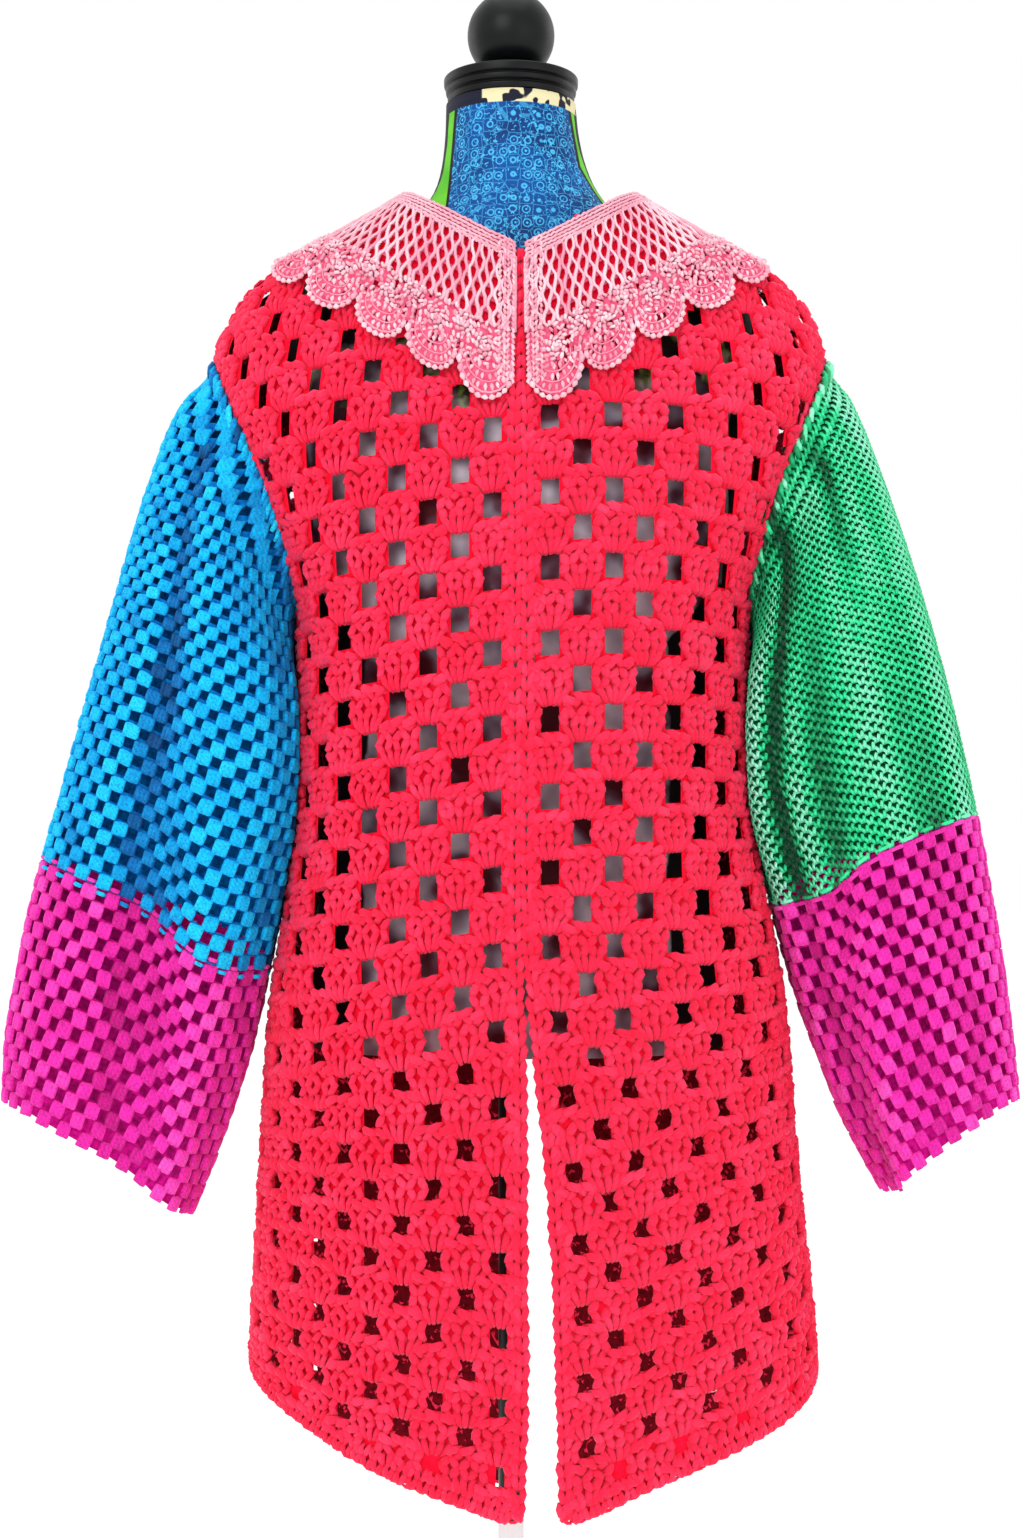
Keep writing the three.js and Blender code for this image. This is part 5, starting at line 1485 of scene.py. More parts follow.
SLEEVE_PIECES = {}
for side in (-1, 1):
    sl = Sleeve(side)
    name = SLEEVES[side]["name"]
    j = sl.join
    up, low = Yarn(), Yarn()
    gap = 0.3 / sl.length
    if side < 0:
        sleeve_blocks(sl, up, BLUE_COLS, 0.006, j - gap, BLUE_ROWS)
        core_up = perforated_tube(sl, "sleeve_upper_right_cloth", 0.0, j - gap, BLUE_COLS, BLUE_ROWS, 0.43, 0.76, BLUE_CORE)
        gathers(sl, up, 0.012, 76, 7.0, 2.6)
        rows, mat, slot = MAG_ROWS_R, BLUE, "blue_crochet"
    else:
        diamond_mesh(sl, up, GREEN_COLS, GREEN_ROWS, 0.004, j - gap)
        core_up = perforated_tube(sl, "sleeve_upper_left_cloth", 0.0, j - gap, GREEN_COLS, GREEN_ROWS, 0.50, 1.0, GREEN_CORE)
        gathers(sl, up, 0.012, 84, 6.5, 2.3)
        rows, mat, slot = MAG_ROWS_L, GREEN, "green_crochet"
    if side < 0:
        # the colours change over stitch by stitch: each shows in the other's holes
        join_bars(sl, low, j - 3.4 / sl.length, MAG_COLS, 0.0, reach=0.19, radius=1.6, lift=2.2)
        join_bars(sl, up, j + 3.4 / sl.length, MAG_COLS, 0.5, reach=0.19, radius=1.6, lift=2.2)
    else:
        join_bars(sl, up, j - 1.9 / sl.length, MAG_COLS, 0.0, reach=0.34, radius=1.5)
        join_bars(sl, low, j + 2.2 / sl.length, MAG_COLS, 0.5, reach=0.36, radius=1.7)
    sleeve_blocks(sl, low, MAG_COLS, j + gap, 1.0, rows, shade=0.26)
    core_low = perforated_tube(sl, "sleeve_lower_%s_cloth" % name, j + gap, 1.0, MAG_COLS, rows, 0.43, 0.76, MAGENTA_CORE, end=1.0 - 3.2 / sl.length, tuck=True)
    st_up = up.mesh("sleeve_upper_%s_stitches" % name, mat)
    st_low = low.mesh("sleeve_lower_%s_stitches" % name, MAGENTA)
    finish_piece(core_up, st_up, "sleeve_upper_" + name)
    finish_piece(core_low, st_low, "sleeve_lower_" + name)
    SLEEVE_PIECES[name] = (sl, core_up, st_up, core_low, st_low)


# ---- the collar's lace ---------------------------------------------------------------------------
PINK = yarn_material("pink_thread", srgb(206, 84, 118), srgb(238, 152, 174), srgb(255, 226, 234), 3.0, 3.0, 2200.0, 0.35, rough=0.6, sheen=0.25, sheen_tint=srgb(255, 230, 235), spec=0.35, tone_share=0.8, patch_share=0.5, ply_groove_shade=0.85)
# the ground's darker pink is painted shade between the stitches
PINK_GROUND_SHADED = core_material("pink_ground_shaded", srgb(224, 100, 132), srgb(200, 62, 98))
LACE_LIFT = 8.0
PER = 8  # lines of the net to a scallop


def lace_lift(a, b):
    """The lace lies on the knitting, and its edge lifts and dips a little with every scallop."""
    wave = np.cos(2 * math.pi * np.asarray(a, float))
    return LACE_LIFT - 0.7 * wave * smooth((np.asarray(b, float) - 0.55) / 0.45)


def lace(yarn, a, b, h, radius, sides=4, flat=0.8, tone=None):
    a, b = np.atleast_2d(a), np.atleast_2d(b)
    p, n = collar_chart.point(a, b, lace_lift(a, b) + h)
    radius = np.broadcast_to(np.asarray(radius, float), a.shape)
    yarn.add(p, n, radius, sides, flat=flat, tone=tone)


EDGE_STEP = COLLAR_EDGE_LEN / SCALLOPS


def lace_mm(a0, b0, x, y):
    """(a, b) of a place x mm along the edge and y mm outward from (a0, b0)."""
    depth = np.interp(np.clip(a0, 0, SCALLOPS), np.linspace(0, SCALLOPS, len(collar_depth)), collar_depth)
    return a0 + x / (EDGE_STEP * (0.62 + 0.38 * b0)), b0 + y / depth


def strokes(yarn, a0, b0, x, y, ang, length, radius, h, tone):
    """Short stitches of the lace: centre (x, y) mm from (a0, b0), at an angle."""
    a0, b0, x, y, ang, length, radius, h, tone = np.broadcast_arrays(*[np.asarray(q, float) for q in (a0, b0, x, y, ang, length, radius, h, tone)])
    q = np.array([-0.54, -0.22, 0.26, 0.54])[None]
    xx = x[:, None] + np.cos(ang)[:, None] * length[:, None] * q
    yy = y[:, None] + np.sin(ang)[:, None] * length[:, None] * q
    a, b = lace_mm(a0[:, None], b0[:, None], xx, yy)
    a = np.clip(a, 0.02, SCALLOPS - 0.02)
    hh = h[:, None] + np.array([-1.1, 0.1, 0.1, -1.1])[None]
    lace(yarn, a, b, hh, radius[:, None] * np.array([0.2, 1.0, 1.0, 0.2])[None], sides=4, flat=0.9, tone=tone)


lace_yarn = Yarn()
# neckband: fine chains side by side round the neck
aa = np.linspace(0.02, SCALLOPS - 0.02, 331)[None]
for k, b0 in enumerate((0.006, 0.03, 0.054, 0.078, 0.1)):
    wav = 0.0045 * np.sin(2 * math.pi * aa * 8 + k * 1.7) + rng.normal(0, 0.0015, aa.shape)
    lace(lace_yarn, aa, b0 + wav, 0.3 + 0.45 * np.cos(2 * math.pi * aa * 8 + k) + rng.normal(0, 0.12, aa.shape), 1.3, sides=4, tone=np.array([0.62 + 0.08 * (k % 2)]))
# net: lines that meet their neighbours in turn, with long almond holes between
NET_LO, NET_HI, NET_ROWS = 0.108, 0.60, 6
lines = SCALLOPS * PER
for i in range(lines + 1):
    b = np.linspace(NET_LO - 0.01, NET_HI + 0.01, NET_ROWS * 3 + 1)
    ph = (b - NET_LO) / (NET_HI - NET_LO) * NET_ROWS
    sway = np.sin(math.pi * ph)
    sway = np.sign(sway) * np.abs(sway) ** 0.6 * (0.33 if 0 < i < lines else 0.0)
    a = (i + (1 if i % 2 else -1) * sway) / PER
    a = np.clip(a + rng.normal(0, 0.007, len(b)), 0.01, SCALLOPS - 0.01)
    lace(lace_yarn, a[None], b[None] + rng.normal(0, 0.003), 0.3 + rng.normal(0, 0.15, (1, len(b))), (1.22 + 0.36 * (b[None] - NET_LO) / (NET_HI - NET_LO)) * rng.uniform(0.9, 1.15, (1, len(b))), tone=np.array([rng.uniform(0.45, 0.95)]))
# the round between the neckband and the net
aa = np.linspace(0.02, SCALLOPS - 0.02, 265)[None]
lace(lace_yarn, aa, NET_LO + 0.008 * np.sin(2 * math.pi * aa * 4), 0.5, 1.15, tone=np.array([0.6]))


def popcorn(yarn, a0, b0, size):
    """A puffed flower of looped stitches set round its middle."""
    turn, hand = rng.uniform(0, 2 * math.pi), rng.choice([-1.0, 1.0])
    for count, reach, swirl, rise, length in ((1, 0.0, 0.0, 2.5, 0.36), (5, 0.34, 1.2, 2.0, 0.52), (8, 0.72, 1.0, 1.4, 0.56), (10, 1.06, 0.8, 0.6, 0.55)):
        w = turn + 2 * math.pi * (np.arange(count) + rng.uniform(-0.2, 0.2, count)) / count
        strokes(yarn, np.full(count, a0), b0, size * reach * np.cos(w), size * reach * np.sin(w), w + hand * swirl + rng.normal(0, 0.15, count), size * length * rng.uniform(0.9, 1.15, count), rng.uniform(1.4, 1.85, count), rise + rng.normal(0, 0.3, count), rng.uniform(0.45, 1.0, count))
        turn += 0.4


places = []
for i in range(SCALLOPS):
    places.append((i + 0.5 + rng.normal(0, 0.03), 0.755, 9.0))
    if i:
        places.append((i + rng.normal(0, 0.03), 0.672, 8.4))
for a0, b0, size in places:
    popcorn(lace_yarn, a0, b0, size)
# small loops between the flowers
fa, fb = np.meshgrid(np.arange(SCALLOPS * 8) / 8.0 + 0.06, np.linspace(0.60, 0.86, 7), indexing="ij")
fa = fa + rng.normal(0, 0.025, fa.shape)
fb = fb + rng.normal(0, 0.008, fb.shape)
fa, fb = fa.ravel(), fb.ravel()
clear = np.full(len(fa), 99.0)
for a0, b0, size in places:
    dx = (fa - a0) * EDGE_STEP * (0.62 + 0.38 * b0)
    dy = (fb - b0) * np.interp(a0, np.linspace(0, SCALLOPS, len(collar_depth)), collar_depth)
    clear = np.minimum(clear, np.hypot(dx, dy) - size)
ok = (clear > 0.6) & (fa > 0.16) & (fa < SCALLOPS - 0.16)
fa, fb = fa[ok], fb[ok]
m = len(fa)
strokes(lace_yarn, fa, fb, 0.0, 0.0, math.pi / 2 + rng.normal(0, 0.7, m), rng.uniform(4.4, 6.2, m), rng.uniform(1.25, 1.65, m), 0.6 + rng.normal(0, 0.3, m), rng.uniform(0.35, 0.95, m))
# scallops: three fans of stitches, two arcs and a beaded edge
for i in range(SCALLOPS):
    mid, root = i + 0.5, 0.80

    def rim(f, reach):
        w = math.pi * f
        return mid - 0.47 * np.cos(w) * np.minimum(1.0, 0.25 + 0.75 * reach), root + (0.255 * np.sin(w) ** 0.7) * reach

    for count, reach, long in ((6, 0.3, 0.10), (9, 0.55, 0.11), (12, 0.80, 0.11)):
        f = (np.arange(count) + 0.5 + rng.uniform(-0.15, 0.15, count)) / count
        q = reach + np.array([-1, 0, 1])[None] * long
        a, b = rim(f[:, None], q)
        lace(lace_yarn, np.clip(a, 0.02, SCALLOPS - 0.02), b, np.array([-0.3, 0.95, -0.2])[None] + rng.normal(0, 0.15, (count, 1)), np.array([0.5, 1.5, 0.6])[None] * rng.uniform(0.9, 1.15, (count, 1)), tone=rng.uniform(0.4, 0.95, count))
    for reach, r in ((0.43, 0.9), (0.68, 0.95), (0.93, 1.2)):
        f = np.linspace(0.0, 1.0, 11)
        a, b = rim(f, reach)
        lace(lace_yarn, np.clip(a, 0.02, SCALLOPS - 0.02)[None], b[None], 0.1, r, tone=np.array([0.5]))
    beads = 12
    f = 0.045 + 0.91 * (np.arange(beads) + 0.5) / beads
    step_ = 0.40 / beads
    a0, b0 = rim(f, 1.05)
    a1, b1 = rim(np.clip(f + step_, 0, 1), 1.05)
    a9, b9 = rim(np.clip(f - step_, 0, 1), 1.05)
    a, b = np.stack([a9, a0, a1], -1), np.stack([b9, b0, b1], -1)
    lace(lace_yarn, np.clip(a, 0.02, SCALLOPS - 0.02), b, np.array([0.1, 1.0, 0.1])[None] + rng.normal(0, 0.15, (beads, 1)), np.array([0.9, 2.35, 0.9])[None] * rng.uniform(0.9, 1.1, (beads, 1)), sides=6, flat=0.9, tone=rng.uniform(0.6, 1.0, beads))
# chain bands on the two front edges
for a_end, sgn in ((0.0, 1), (SCALLOPS, -1)):
    m = 26
    b0 = (np.arange(m) + 0.5) / m * 0.95
    for off in (0.04, 0.17):
        for z in (-1, 1):
            q = np.array([-0.55, -0.15, 0.25, 0.6]) * (0.95 / m)
            a = a_end + sgn * (off + z * np.array([0.01, 0.035, 0.05, 0.03]) + 0.03)[None] * (1.0 / (0.62 + 0.38 * b0))[:, None]
            lace(lace_yarn, a, b0[:, None] + q[None], 0.4 + np.array([0.0, 0.5, 0.5, 0.0])[None] + np.zeros((m, 1)), np.array([0.4, 1.35, 1.4, 0.5])[None] * rng.uniform(0.9, 1.12, (m, 1)), tone=rng.uniform(0.4, 0.9, m))
collar_stitches = lace_yarn.mesh("collar_stitches", PINK)

# the lace's ground: a thin sheet, open in the net and between the spokes, darker than the thread as painted shade
# between the stitches
ga, gb, kinds_b = [], [], []
ga = np.arange(SCALLOPS * PER * 2 + 1) / (PER * 2.0)
ga = np.clip(ga, 0.02, SCALLOPS - 0.02)
gb = [0.0, NET_LO]
for k in range(NET_ROWS):
    w = (NET_HI - NET_LO) / NET_ROWS
    gb += [NET_LO + (k + 0.12) * w, NET_LO + (k + 0.88) * w]
gb += [NET_HI, 0.64, 0.68, 0.72, 0.76, 0.80, 0.835, 0.87, 0.90, 0.94, 1.0]
gb = np.array(gb)
aa, bb = np.meshgrid(ga, gb, indexing="ij")
lobe = np.abs(np.sin(math.pi * np.mod(aa, 1.0))) ** 0.7
bb = np.where(bb > 0.80, 0.80 + (bb - 0.80) * (0.30 + 1.0 * lobe), bb)
# the grid's lines follow the net's holes
row = (bb - NET_LO) / (NET_HI - NET_LO) * NET_ROWS
p, n = collar_chart.point(aa, bb, lace_lift(aa, bb) - 0.5 + 1.1 * smooth((bb - NET_HI) / 0.04))
faces = []
na, nb = aa.shape
for i in range(na - 1):
    for j in range(nb - 1):
        mid_b = (gb[j] + gb[j + 1]) / 2
        if NET_LO < mid_b < NET_HI:
            k = int((mid_b - NET_LO) / (NET_HI - NET_LO) * NET_ROWS)
            inside_hole = (j % 2) == 0
            # between line 2m and 2m+1 on even rows, 2m+1 and 2m+2 on odd rows
            cell = i // 2
            if inside_hole and 2 < i < na - 4 and (cell % 2) == (k % 2):
                continue
        elif mid_b > NET_HI and 6 < i < na - 8 and mid_b < 0.95 and rng.uniform() < 0.16:
            continue
        faces.append([i * nb + j, (i + 1) * nb + j, (i + 1) * nb + j + 1, i * nb + j + 1])
collar_cloth = surface_mesh("collar_cloth", p.reshape(-1, 3), faces, PINK_GROUND_SHADED)
finish_piece(collar_cloth, collar_stitches, "collar")

# ---- dress form ----------------------------------------------------------------------------------
FORM_RINGS = np.array(
    [  # z, x, half, front, back
        (786, 5, 159, 98, 98), (800, 5, 164, 103, 103), (850, 5, 163, 105, 104), (915, 5, 151, 100, 96), (985, 5, 140, 92, 86),
        (1060, 5, 148, 102, 92), (1130, 5, 157, 113, 97), (1180, 5, 163, 117, 99), (1226, 5, 170, 114, 99), (1280, 5, 178, 103, 95),
        (1318, 5, 182, 91, 90), (1345, 5, 183, 82, 83), (1362, 5, 181, 76, 78), (1376, 5, 173, 73, 74), (1386, 5, 160, 70, 69),
        (1395, 5, 143, 68, 66), (1408, 5, 116, 66, 62), (1421, 5, 93, 64, 59), (1433, 4.5, 76, 61, 57), (1445, 4, 66, 58, 55.5),
        (1460, 3, 59, 56, 55), (1480, 1.5, 54, 53, 53), (1500, 0.5, 51.5, 51.5, 51.5), (1517, 0, 50.6, 50.6, 50.6),
    ],
    float,
)
fx, fh, ff, fbk = (mono(FORM_RINGS[:, 0], FORM_RINGS[:, k]) for k in (1, 2, 3, 4))


def form_surface():
    around = 72
    z = np.unique(np.concatenate([np.linspace(786, 1340, 32), np.linspace(1340, 1440, 24), np.linspace(1440, 1517, 12)]))
    w = 2 * math.pi * np.arange(around) / around
    zz, ww = np.meshgrid(z, w, indexing="ij")
    s_, c_ = np.sin(ww), np.cos(ww)
    e = 2.25 - 0.15 * smooth((zz - 1380) / 20) - 0.10 * smooth((zz - 1425) / 20)
    b = np.where(c_ > 0, ff(zz), fbk(zz))
    q = (np.abs(s_ / fh(zz)) ** e + np.abs(c_ / b) ** e) ** (-1 / e)
    p = np.stack([fx(zz) + q * s_, -q * c_, zz], -1)
    # both ends are closed flat, in rings drawn in towards the middle
    faces = []
    n = len(z)
    for j in range(n - 1):
        for i in range(around):
            k = (i + 1) % around
            faces.append([j * around + i, j * around + k, (j + 1) * around + k, (j + 1) * around + i])
    pts = p.reshape(-1, 3)
    ends = []
    for j, inner in ((0, (0.97, 0.6, 0.06)), (n - 1, (0.97, 0.5, 0.06))):
        prev = j * around
        ringp = p[j]
        c0 = np.array([ringp[:, 0].mean(), 0.0, ringp[0, 2]])
        for f in inner:
            new = c0 + (ringp - c0) * f
            base = len(pts)
            pts = np.concatenate([pts, new])
            for i in range(around):
                k = (i + 1) % around
                faces.append([prev + k, prev + i, base + i, base + k] if j == 0 else [prev + i, prev + k, base + k, base + i])
            prev = base
        faces.append([prev + i for i in (range(around - 1, -1, -1) if j == 0 else range(around))])
    return pts, faces


def form_material():
    """Papered form: blue sprigged paper on the front of the neck, lime beside it, pale grey body with black sides."""
    m, n, l, bsdf = new_material("form_paper")
    co = n.new("ShaderNodeTexCoord")
    sep = n.new("ShaderNodeSeparateXYZ")
    l.new(co.outputs["Object"], sep.inputs[0])

    def math_node(op, a, b=None, c=None, clamp=False):
        x = n.new("ShaderNodeMath")
        x.operation = op
        x.use_clamp = clamp
        for k, v in enumerate((a, b, c)):
            if v is None:
                continue
            if isinstance(v, (int, float)):
                x.inputs[k].default_value = v
            else:
                l.new(v, x.inputs[k])
        return x.outputs[0]

    def mix(fac, a, b):
        x = n.new("ShaderNodeMix")
        x.data_type = "RGBA"
        l.new(fac, x.inputs[0])
        for k, v in ((6, a), (7, b)):
            if isinstance(v, tuple):
                x.inputs[k].default_value = v
            else:
                l.new(v, x.inputs[k])
        return x.outputs[2]

    def step(value, at, width):
        """0 below at, 1 above, over a width."""
        return math_node("MULTIPLY_ADD", math_node("SUBTRACT", value, at), 1.0 / width, 0.5, clamp=True)

    X, Y, Z = sep.outputs
    up = math_node("SUBTRACT", Z, 1.428)
    left = math_node("MULTIPLY_ADD", up, 0.08, -0.0485)  # the blue paper's edges
    flare = math_node("MAXIMUM", math_node("MULTIPLY", math_node("SUBTRACT", 1.463, Z), 0.44), 0.0)
    right = math_node("ADD", math_node("MULTIPLY_ADD", math_node("SUBTRACT", Z, 1.465), -0.17, 0.052), flare)
    dl = math_node("SUBTRACT", X, left)
    dr = math_node("SUBTRACT", right, X)
    inside = math_node("MINIMUM", dl, dr)
    in_blue = step(inside, 0.0, 0.0006)
    line = math_node("SUBTRACT", 1.0, step(math_node("ABSOLUTE", inside), 0.0011, 0.0006))
    # blue paper: small pale sprigs and rings on indigo
    vor = n.new("ShaderNodeTexVoronoi")
    vor.inputs["Scale"].default_value = 105.0
    vor.inputs["Randomness"].default_value = 0.4
    l.new(co.outputs["Object"], vor.inputs["Vector"])
    petal = n.new("ShaderNodeTexNoise")
    petal.inputs["Scale"].default_value = 250.0
    petal.inputs["Detail"].default_value = 2.0
    petal.inputs["Roughness"].default_value = 0.6
    petal.inputs["Distortion"].default_value = 1.6
    l.new(co.outputs["Object"], petal.inputs["Vector"])
    ring_ = ramp(n, [(0.0, (1, 1, 1, 1)), (0.07, (1, 1, 1, 1)), (0.12, (0, 0, 0, 1)), (0.25, (0, 0, 0, 1)), (0.29, (0.8, 0.8, 0.8, 1)), (0.33, (0.8, 0.8, 0.8, 1)), (0.38, (0, 0, 0, 1))])
    l.new(vor.outputs["Distance"], ring_.inputs[0])
    leaf = ramp(n, [(0.0, (0, 0, 0, 1)), (0.585, (0, 0, 0, 1)), (0.62, (0.9, 0.9, 0.9, 1)), (1.0, (0.9, 0.9, 0.9, 1))])
    l.new(petal.outputs["Fac"], leaf.inputs[0])
    web = n.new("ShaderNodeTexVoronoi")
    web.feature = "DISTANCE_TO_EDGE"
    web.inputs["Scale"].default_value = 105.0
    web.inputs["Randomness"].default_value = 0.4
    l.new(co.outputs["Object"], web.inputs["Vector"])
    thread = math_node("MULTIPLY", step(math_node("SUBTRACT", 0.03, web.outputs["Distance"]), 0.0, 0.015), 0.4)
    sprig = math_node("MAXIMUM", math_node("MAXIMUM", ring_.outputs[0], leaf.outputs[0]), thread, clamp=True)
    tint = n.new("ShaderNodeTexNoise")
    tint.inputs["Scale"].default_value = 26.0
    l.new(co.outputs["Object"], tint.inputs["Vector"])
    indigo = ramp(n, [(0.35, srgb(0, 44, 104)), (0.65, srgb(0, 74, 146))])
    l.new(tint.outputs["Fac"], indigo.inputs[0])
    blue = mix(sprig, indigo.outputs[0], srgb(76, 190, 240))
    lime = ramp(n, [(0.35, srgb(78, 180, 26)), (0.65, srgb(112, 206, 44))])
    l.new(tint.outputs["Fac"], lime.inputs[0])
    neck = mix(in_blue, lime.outputs[0], blue)
    neck = mix(line, neck, srgb(18, 16, 18))
    # black behind, from just in front of the sides
    edge_ = math_node("MULTIPLY_ADD", tint.outputs["Fac"], 0.008, -0.021)
    neck = mix(step(Y, edge_, 0.001), neck, srgb(12, 11, 13))
    # the strip under the cap: plain cream with two navy lines
    strip = step(Z, 1.5065, 0.0006)
    bits = n.new("ShaderNodeTexNoise")
    bits.inputs["Scale"].default_value = 95.0
    bits.inputs["Detail"].default_value = 1.0
    l.new(co.outputs["Object"], bits.inputs["Vector"])
    s1 = step(bits.outputs["Fac"], 0.53, 0.03)
    s2 = step(math_node("SUBTRACT", 0.0, X), 0.022, 0.001)
    cream = mix(math_node("MAXIMUM", s1, s2), srgb(222, 212, 168), srgb(18, 20, 40))
    neck = mix(strip, neck, cream)
    # body: pale grey, black at the sides, with soft mottling; the maroon end of the pale ramp is painted shade tinted
    # by the red cloth
    mott = n.new("ShaderNodeTexNoise")
    mott.inputs["Scale"].default_value = 14.0
    mott.inputs["Detail"].default_value = 4.0
    l.new(co.outputs["Object"], mott.inputs["Vector"])
    tones = n.new("ShaderNodeTexNoise")
    tones.inputs["Scale"].default_value = 26.0
    tones.inputs["Detail"].default_value = 2.0
    l.new(co.outputs["Object"], tones.inputs["Vector"])
    pale = ramp(n, [(0.36, srgb(84, 12, 28)), (0.43, srgb(112, 70, 88)), (0.5, srgb(156, 146, 162)), (0.62, srgb(214, 208, 220))])
    l.new(tones.outputs["Fac"], pale.inputs[0])
    wave = math_node("MULTIPLY_ADD", mott.outputs["Fac"], 0.024, 0.103)
    wave = math_node("ADD", wave, math_node("MULTIPLY", step(Z, 1.12, 0.05), 0.045))
    side = step(math_node("ABSOLUTE", math_node("SUBTRACT", X, 0.004)), wave, 0.002)
    patch = n.new("ShaderNodeTexNoise")
    patch.inputs["Scale"].default_value = 34.0
    patch.inputs["Detail"].default_value = 3.0
    patch.inputs["Roughness"].default_value = 0.65
    l.new(co.outputs["Object"], patch.inputs["Vector"])
    dark_ = ramp(n, [(0.40, srgb(24, 18, 18)), (0.5, srgb(52, 30, 22)), (0.56, srgb(120, 150, 60)), (0.62, srgb(206, 196, 168)), (0.7, srgb(150, 74, 30))])
    l.new(patch.outputs["Fac"], dark_.inputs[0])
    high_ = step(math_node("ADD", Z, math_node("MULTIPLY", mott.outputs["Fac"], 0.16)), 1.365, 0.03)
    body = mix(high_, pale.outputs[0], dark_.outputs[0])
    body = mix(side, body, srgb(16, 14, 16))
    on_neck = step(math_node("MULTIPLY_ADD", Y, -0.35, Z), 1.4, 0.001)
    l.new(mix(on_neck, body, neck), bsdf.inputs["Base Color"])
    grain = n.new("ShaderNodeTexNoise")
    grain.inputs["Scale"].default_value = 420.0
    grain.inputs["Detail"].default_value = 3.0
    l.new(co.outputs["Object"], grain.inputs["Vector"])
    bp = n.new("ShaderNodeBump")
    bp.inputs["Strength"].default_value = 0.35
    bp.inputs["Distance"].default_value = 0.0004
    l.new(math_node("ADD", grain.outputs["Fac"], math_node("MULTIPLY", mott.outputs["Fac"], 4.0)), bp.inputs["Height"])
    l.new(bp.outputs[0], bsdf.inputs["Normal"])
    bsdf.inputs["Roughness"].default_value = 0.62
    bsdf.inputs["Specular IOR Level"].default_value = 0.18
    return m


def lacquer(name, color, worn, rough, coat):
    m, n, l, bsdf = new_material(name)
    co = n.new("ShaderNodeTexCoord")
    t = n.new("ShaderNodeTexNoise")
    t.inputs["Scale"].default_value = 55.0
    t.inputs["Detail"].default_value = 5.0
    l.new(co.outputs["Object"], t.inputs["Vector"])
    cr = ramp(n, [(0.0, color), (0.6, color), (0.8, worn)])
    l.new(t.outputs["Fac"], cr.inputs[0])
    l.new(cr.outputs[0], bsdf.inputs["Base Color"])
    rr = ramp(n, [(0.3, (rough, rough, rough, 1)), (0.8, (rough + 0.16, rough + 0.16, rough + 0.16, 1))])
    l.new(t.outputs["Fac"], rr.inputs[0])
    l.new(rr.outputs[0], bsdf.inputs["Roughness"])
    g = n.new("ShaderNodeTexNoise")
    g.inputs["Scale"].default_value = 160.0
    l.new(co.outputs["Object"], g.inputs["Vector"])
    bp = n.new("ShaderNodeBump")
    bp.inputs["Strength"].default_value = 0.12
    bp.inputs["Distance"].default_value = 0.0005
    l.new(g.outputs["Fac"], bp.inputs["Height"])
    l.new(bp.outputs[0], bsdf.inputs["Normal"])
    bsdf.inputs["Coat Weight"].default_value = coat
    bsdf.inputs["Coat Roughness"].default_value = 0.12
    bsdf.inputs["Specular IOR Level"].default_value = 0.22
    return m


def lathe(name, profile, segments, material, bevel=0.6):
    """A turned piece from (r, z) corners; every corner away from the axis is eased by a small round."""
    prof = [np.array(q, float) for q in profile]
    out = [prof[0]]
    for i in range(1, len(prof) - 1):
        a, b, c = prof[i - 1], prof[i], prof[i + 1]
        u, v = a - b, c - b
        lu, lv = np.linalg.norm(u), np.linalg.norm(v)
        k = min(bevel, lu * 0.4, lv * 0.4)
        if k < 0.05 or abs(float(np.cross(u / lu, v / lv))) < 0.12:
            out.append(b)
            continue
        p0, p1 = b + u / lu * k, b + v / lv * k
        for f in (0.0, 0.33, 0.67, 1.0):
            out.append((1 - f) ** 2 * p0 + 2 * f * (1 - f) * b + f * f * p1)
    out.append(prof[-1])
    w = 2 * math.pi * np.arange(segments) / segments
    pts, faces = [], []
    rings = []
    for r, z in out:
        if r < 1e-6:
            rings.append([len(pts)])
            pts.append((0.0, 0.0, z))
        else:
            rings.append(list(range(len(pts), len(pts) + segments)))
            pts += [(r * math.cos(t), r * math.sin(t), z) for t in w]
    for a, b in zip(rings[:-1], rings[1:]):
        for i in range(segments):
            k = (i + 1) % segments
            if len(a) == 1:
                faces.append([a[0], b[k], b[i]])
            elif len(b) == 1:
                faces.append([a[i], a[k], b[0]])
            else:
                faces.append([a[i], a[k], b[k], b[i]])
    return surface_mesh(name, np.array(pts), faces, material)


LACQUER = lacquer("black_lacquer", srgb(3, 4, 6), srgb(20, 19, 20), 0.3, 0.0)
METAL = lacquer("stand_metal", srgb(238, 238, 238), srgb(216, 214, 210), 0.45, 0.0)
pts, faces = form_surface()
torso = surface_mesh("form_body", pts, faces, form_material())
cap = lathe("form_cap_turned", [(0, 1517.4), (47.5, 1517.4), (48.8, 1518.6), (49.6, 1522.4), (47.9, 1524), (50.6, 1525.6), (51, 1529), (49.6, 1530.2), (52.2, 1531.6), (52.4, 1536.8), (51.6, 1537.8), (30.6, 1538.2), (30.2, 1543.6), (28, 1545), (0, 1545)], 72, LACQUER)
low_a = math.asin((1545.4 - 1572) / 34)
ball_profile = [(0, 1545.4)] + [(34 * math.cos(a), 1572 + 34 * math.sin(a)) for a in np.linspace(low_a, math.pi / 2, 26)[:-1]] + [(0, 1606.0)]
ball = lathe("form_ball", ball_profile, 72, LACQUER, bevel=0.0)
tube = lathe("form_pole_tube", [(0, 30.3), (10, 30.3), (10, 120), (10, 416), (0, 416)], 40, METAL)
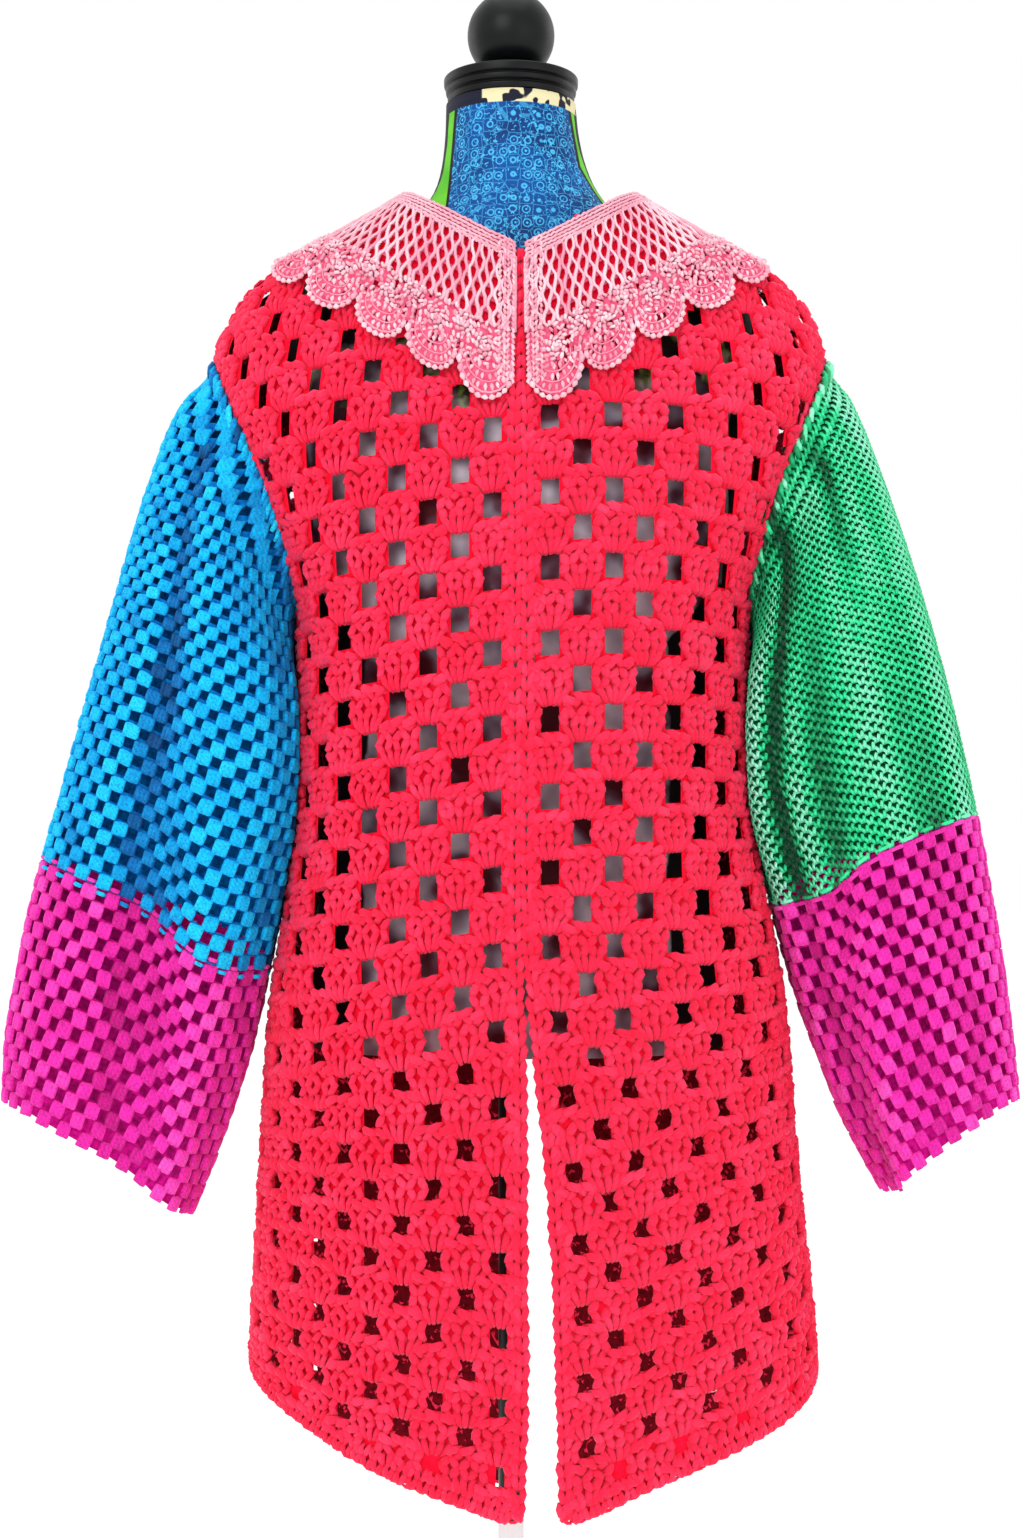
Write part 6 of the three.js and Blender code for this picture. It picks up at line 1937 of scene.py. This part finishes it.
# the rod above the tube is black lacquer, as on two-tone stands; its black is also painted shade for the dark inside
# the jacket
rod = lathe("form_pole_rod", [(0, 416), (9.7, 416), (9.7, 600), (9.7, 785.6), (0, 785.6)], 40, LACQUER)
base = lathe("form_base_plate", [(0, 0), (176, 0), (180, 3), (180, 14), (172, 19), (60, 24), (34, 30), (0, 30)], 96, METAL, bevel=2.5)
for piece, node, slot in ((torso, "form_torso", "form_shell"), (cap, "form_cap", "black_lacquer"), (ball, "form_finial", "black_lacquer"), (tube, "form_pole", "stand_metal"), (rod, "form_pole", "black_lacquer"), (base, "form_base", "stand_metal")):
    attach(piece, "root")
    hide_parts(node)

# ---- the cut of the cloth ------------------------------------------------------------------------
CUT = {}
for label, (core, stitches) in RED_PIECES.items():
    panel = PANELS[label]
    sg_ = np.arange(-1.0, 340.0, 2.0)
    rg_ = np.arange(-7.5, panel.rows[-1], 0.0625)
    ss, rr = np.meshgrid(sg_, rg_, indexing="ij")
    p, _ = panel.chart.at(ss, rr)
    ds = np.linalg.norm(np.diff(p, axis=0), axis=-1)[:, :-1]
    dr = np.linalg.norm(np.diff(p, axis=1), axis=-1)[:-1]
    inside = panel.inside(p, ss, rr, edge=-1.0, hem=0.0, seam=0.3)[:-1, :-1]
    area = float(np.sum(ds * dr * inside)) * 1e-6
    width = float(np.max(np.sum(ds * inside, axis=0))) * 1e-3
    length = float(np.max(np.sum(dr * inside, axis=1))) * 1e-3
    CUT[label] = (width, length, area)
for name, (sl, core_up, st_up, core_low, st_low) in SLEEVE_PIECES.items():
    for part, core, stitches, ta, tb in (("upper", core_up, st_up, 0.0, sl.join), ("lower", core_low, st_low, sl.join, 1.0)):
        tt = np.linspace(ta, tb, 81)
        vv = np.linspace(0, 1, 121)
        V_, T_ = np.meshgrid(vv, tt, indexing="ij")
        p, _ = sl.chart.at(V_, T_)
        cell = np.linalg.norm(np.cross(np.diff(p, axis=0)[:, :-1], np.diff(p, axis=1)[:-1]), axis=-1)
        area = float(np.sum(cell)) * 1e-6
        drop = np.sum(np.linalg.norm(np.diff(p, axis=1), axis=-1), axis=1)
        width = float(np.max(np.interp(tt, sl.tg, sl.girth))) * 1e-3
        length = float(np.max(drop)) * 1e-3
        CUT["sleeve_%s_%s" % (part, name)] = (width, length, area)
p = collar_chart.p[:, :51]
area = float(np.sum(np.linalg.norm(np.cross(np.diff(p, axis=0)[:, :-1], np.diff(p, axis=1)[:-1]), axis=-1))) * 1e-6
width, length = COLLAR_EDGE_LEN * 1e-3, float(np.max(collar_depth)) * 1.06e-3
CUT["collar"] = (width, length, area)
for k, v in CUT.items():
    print("cut", k, "%.3f x %.3f m, %.4f m2" % v)

# ---- floor --------------------------------------------------------------------------------------
floor_mesh = bpy.data.meshes.new("floor")
floor_mesh.from_pydata([(-14, -14, 0), (14, -14, 0), (14, 14, 0), (-14, 14, 0)], [], [(0, 1, 2, 3)])
floor = bpy.data.objects.new("floor", floor_mesh)
scene.collection.objects.link(floor)
fm, fn, fl, fb = new_material("floor_paint")
fb.inputs["Base Color"].default_value = (0.97, 0.97, 0.97, 1)
fb.inputs["Roughness"].default_value = 0.9
fb.inputs["Emission Color"].default_value = (1, 1, 1, 1)
fb.inputs["Emission Strength"].default_value = 0.12
floor_mesh.materials.append(fm)
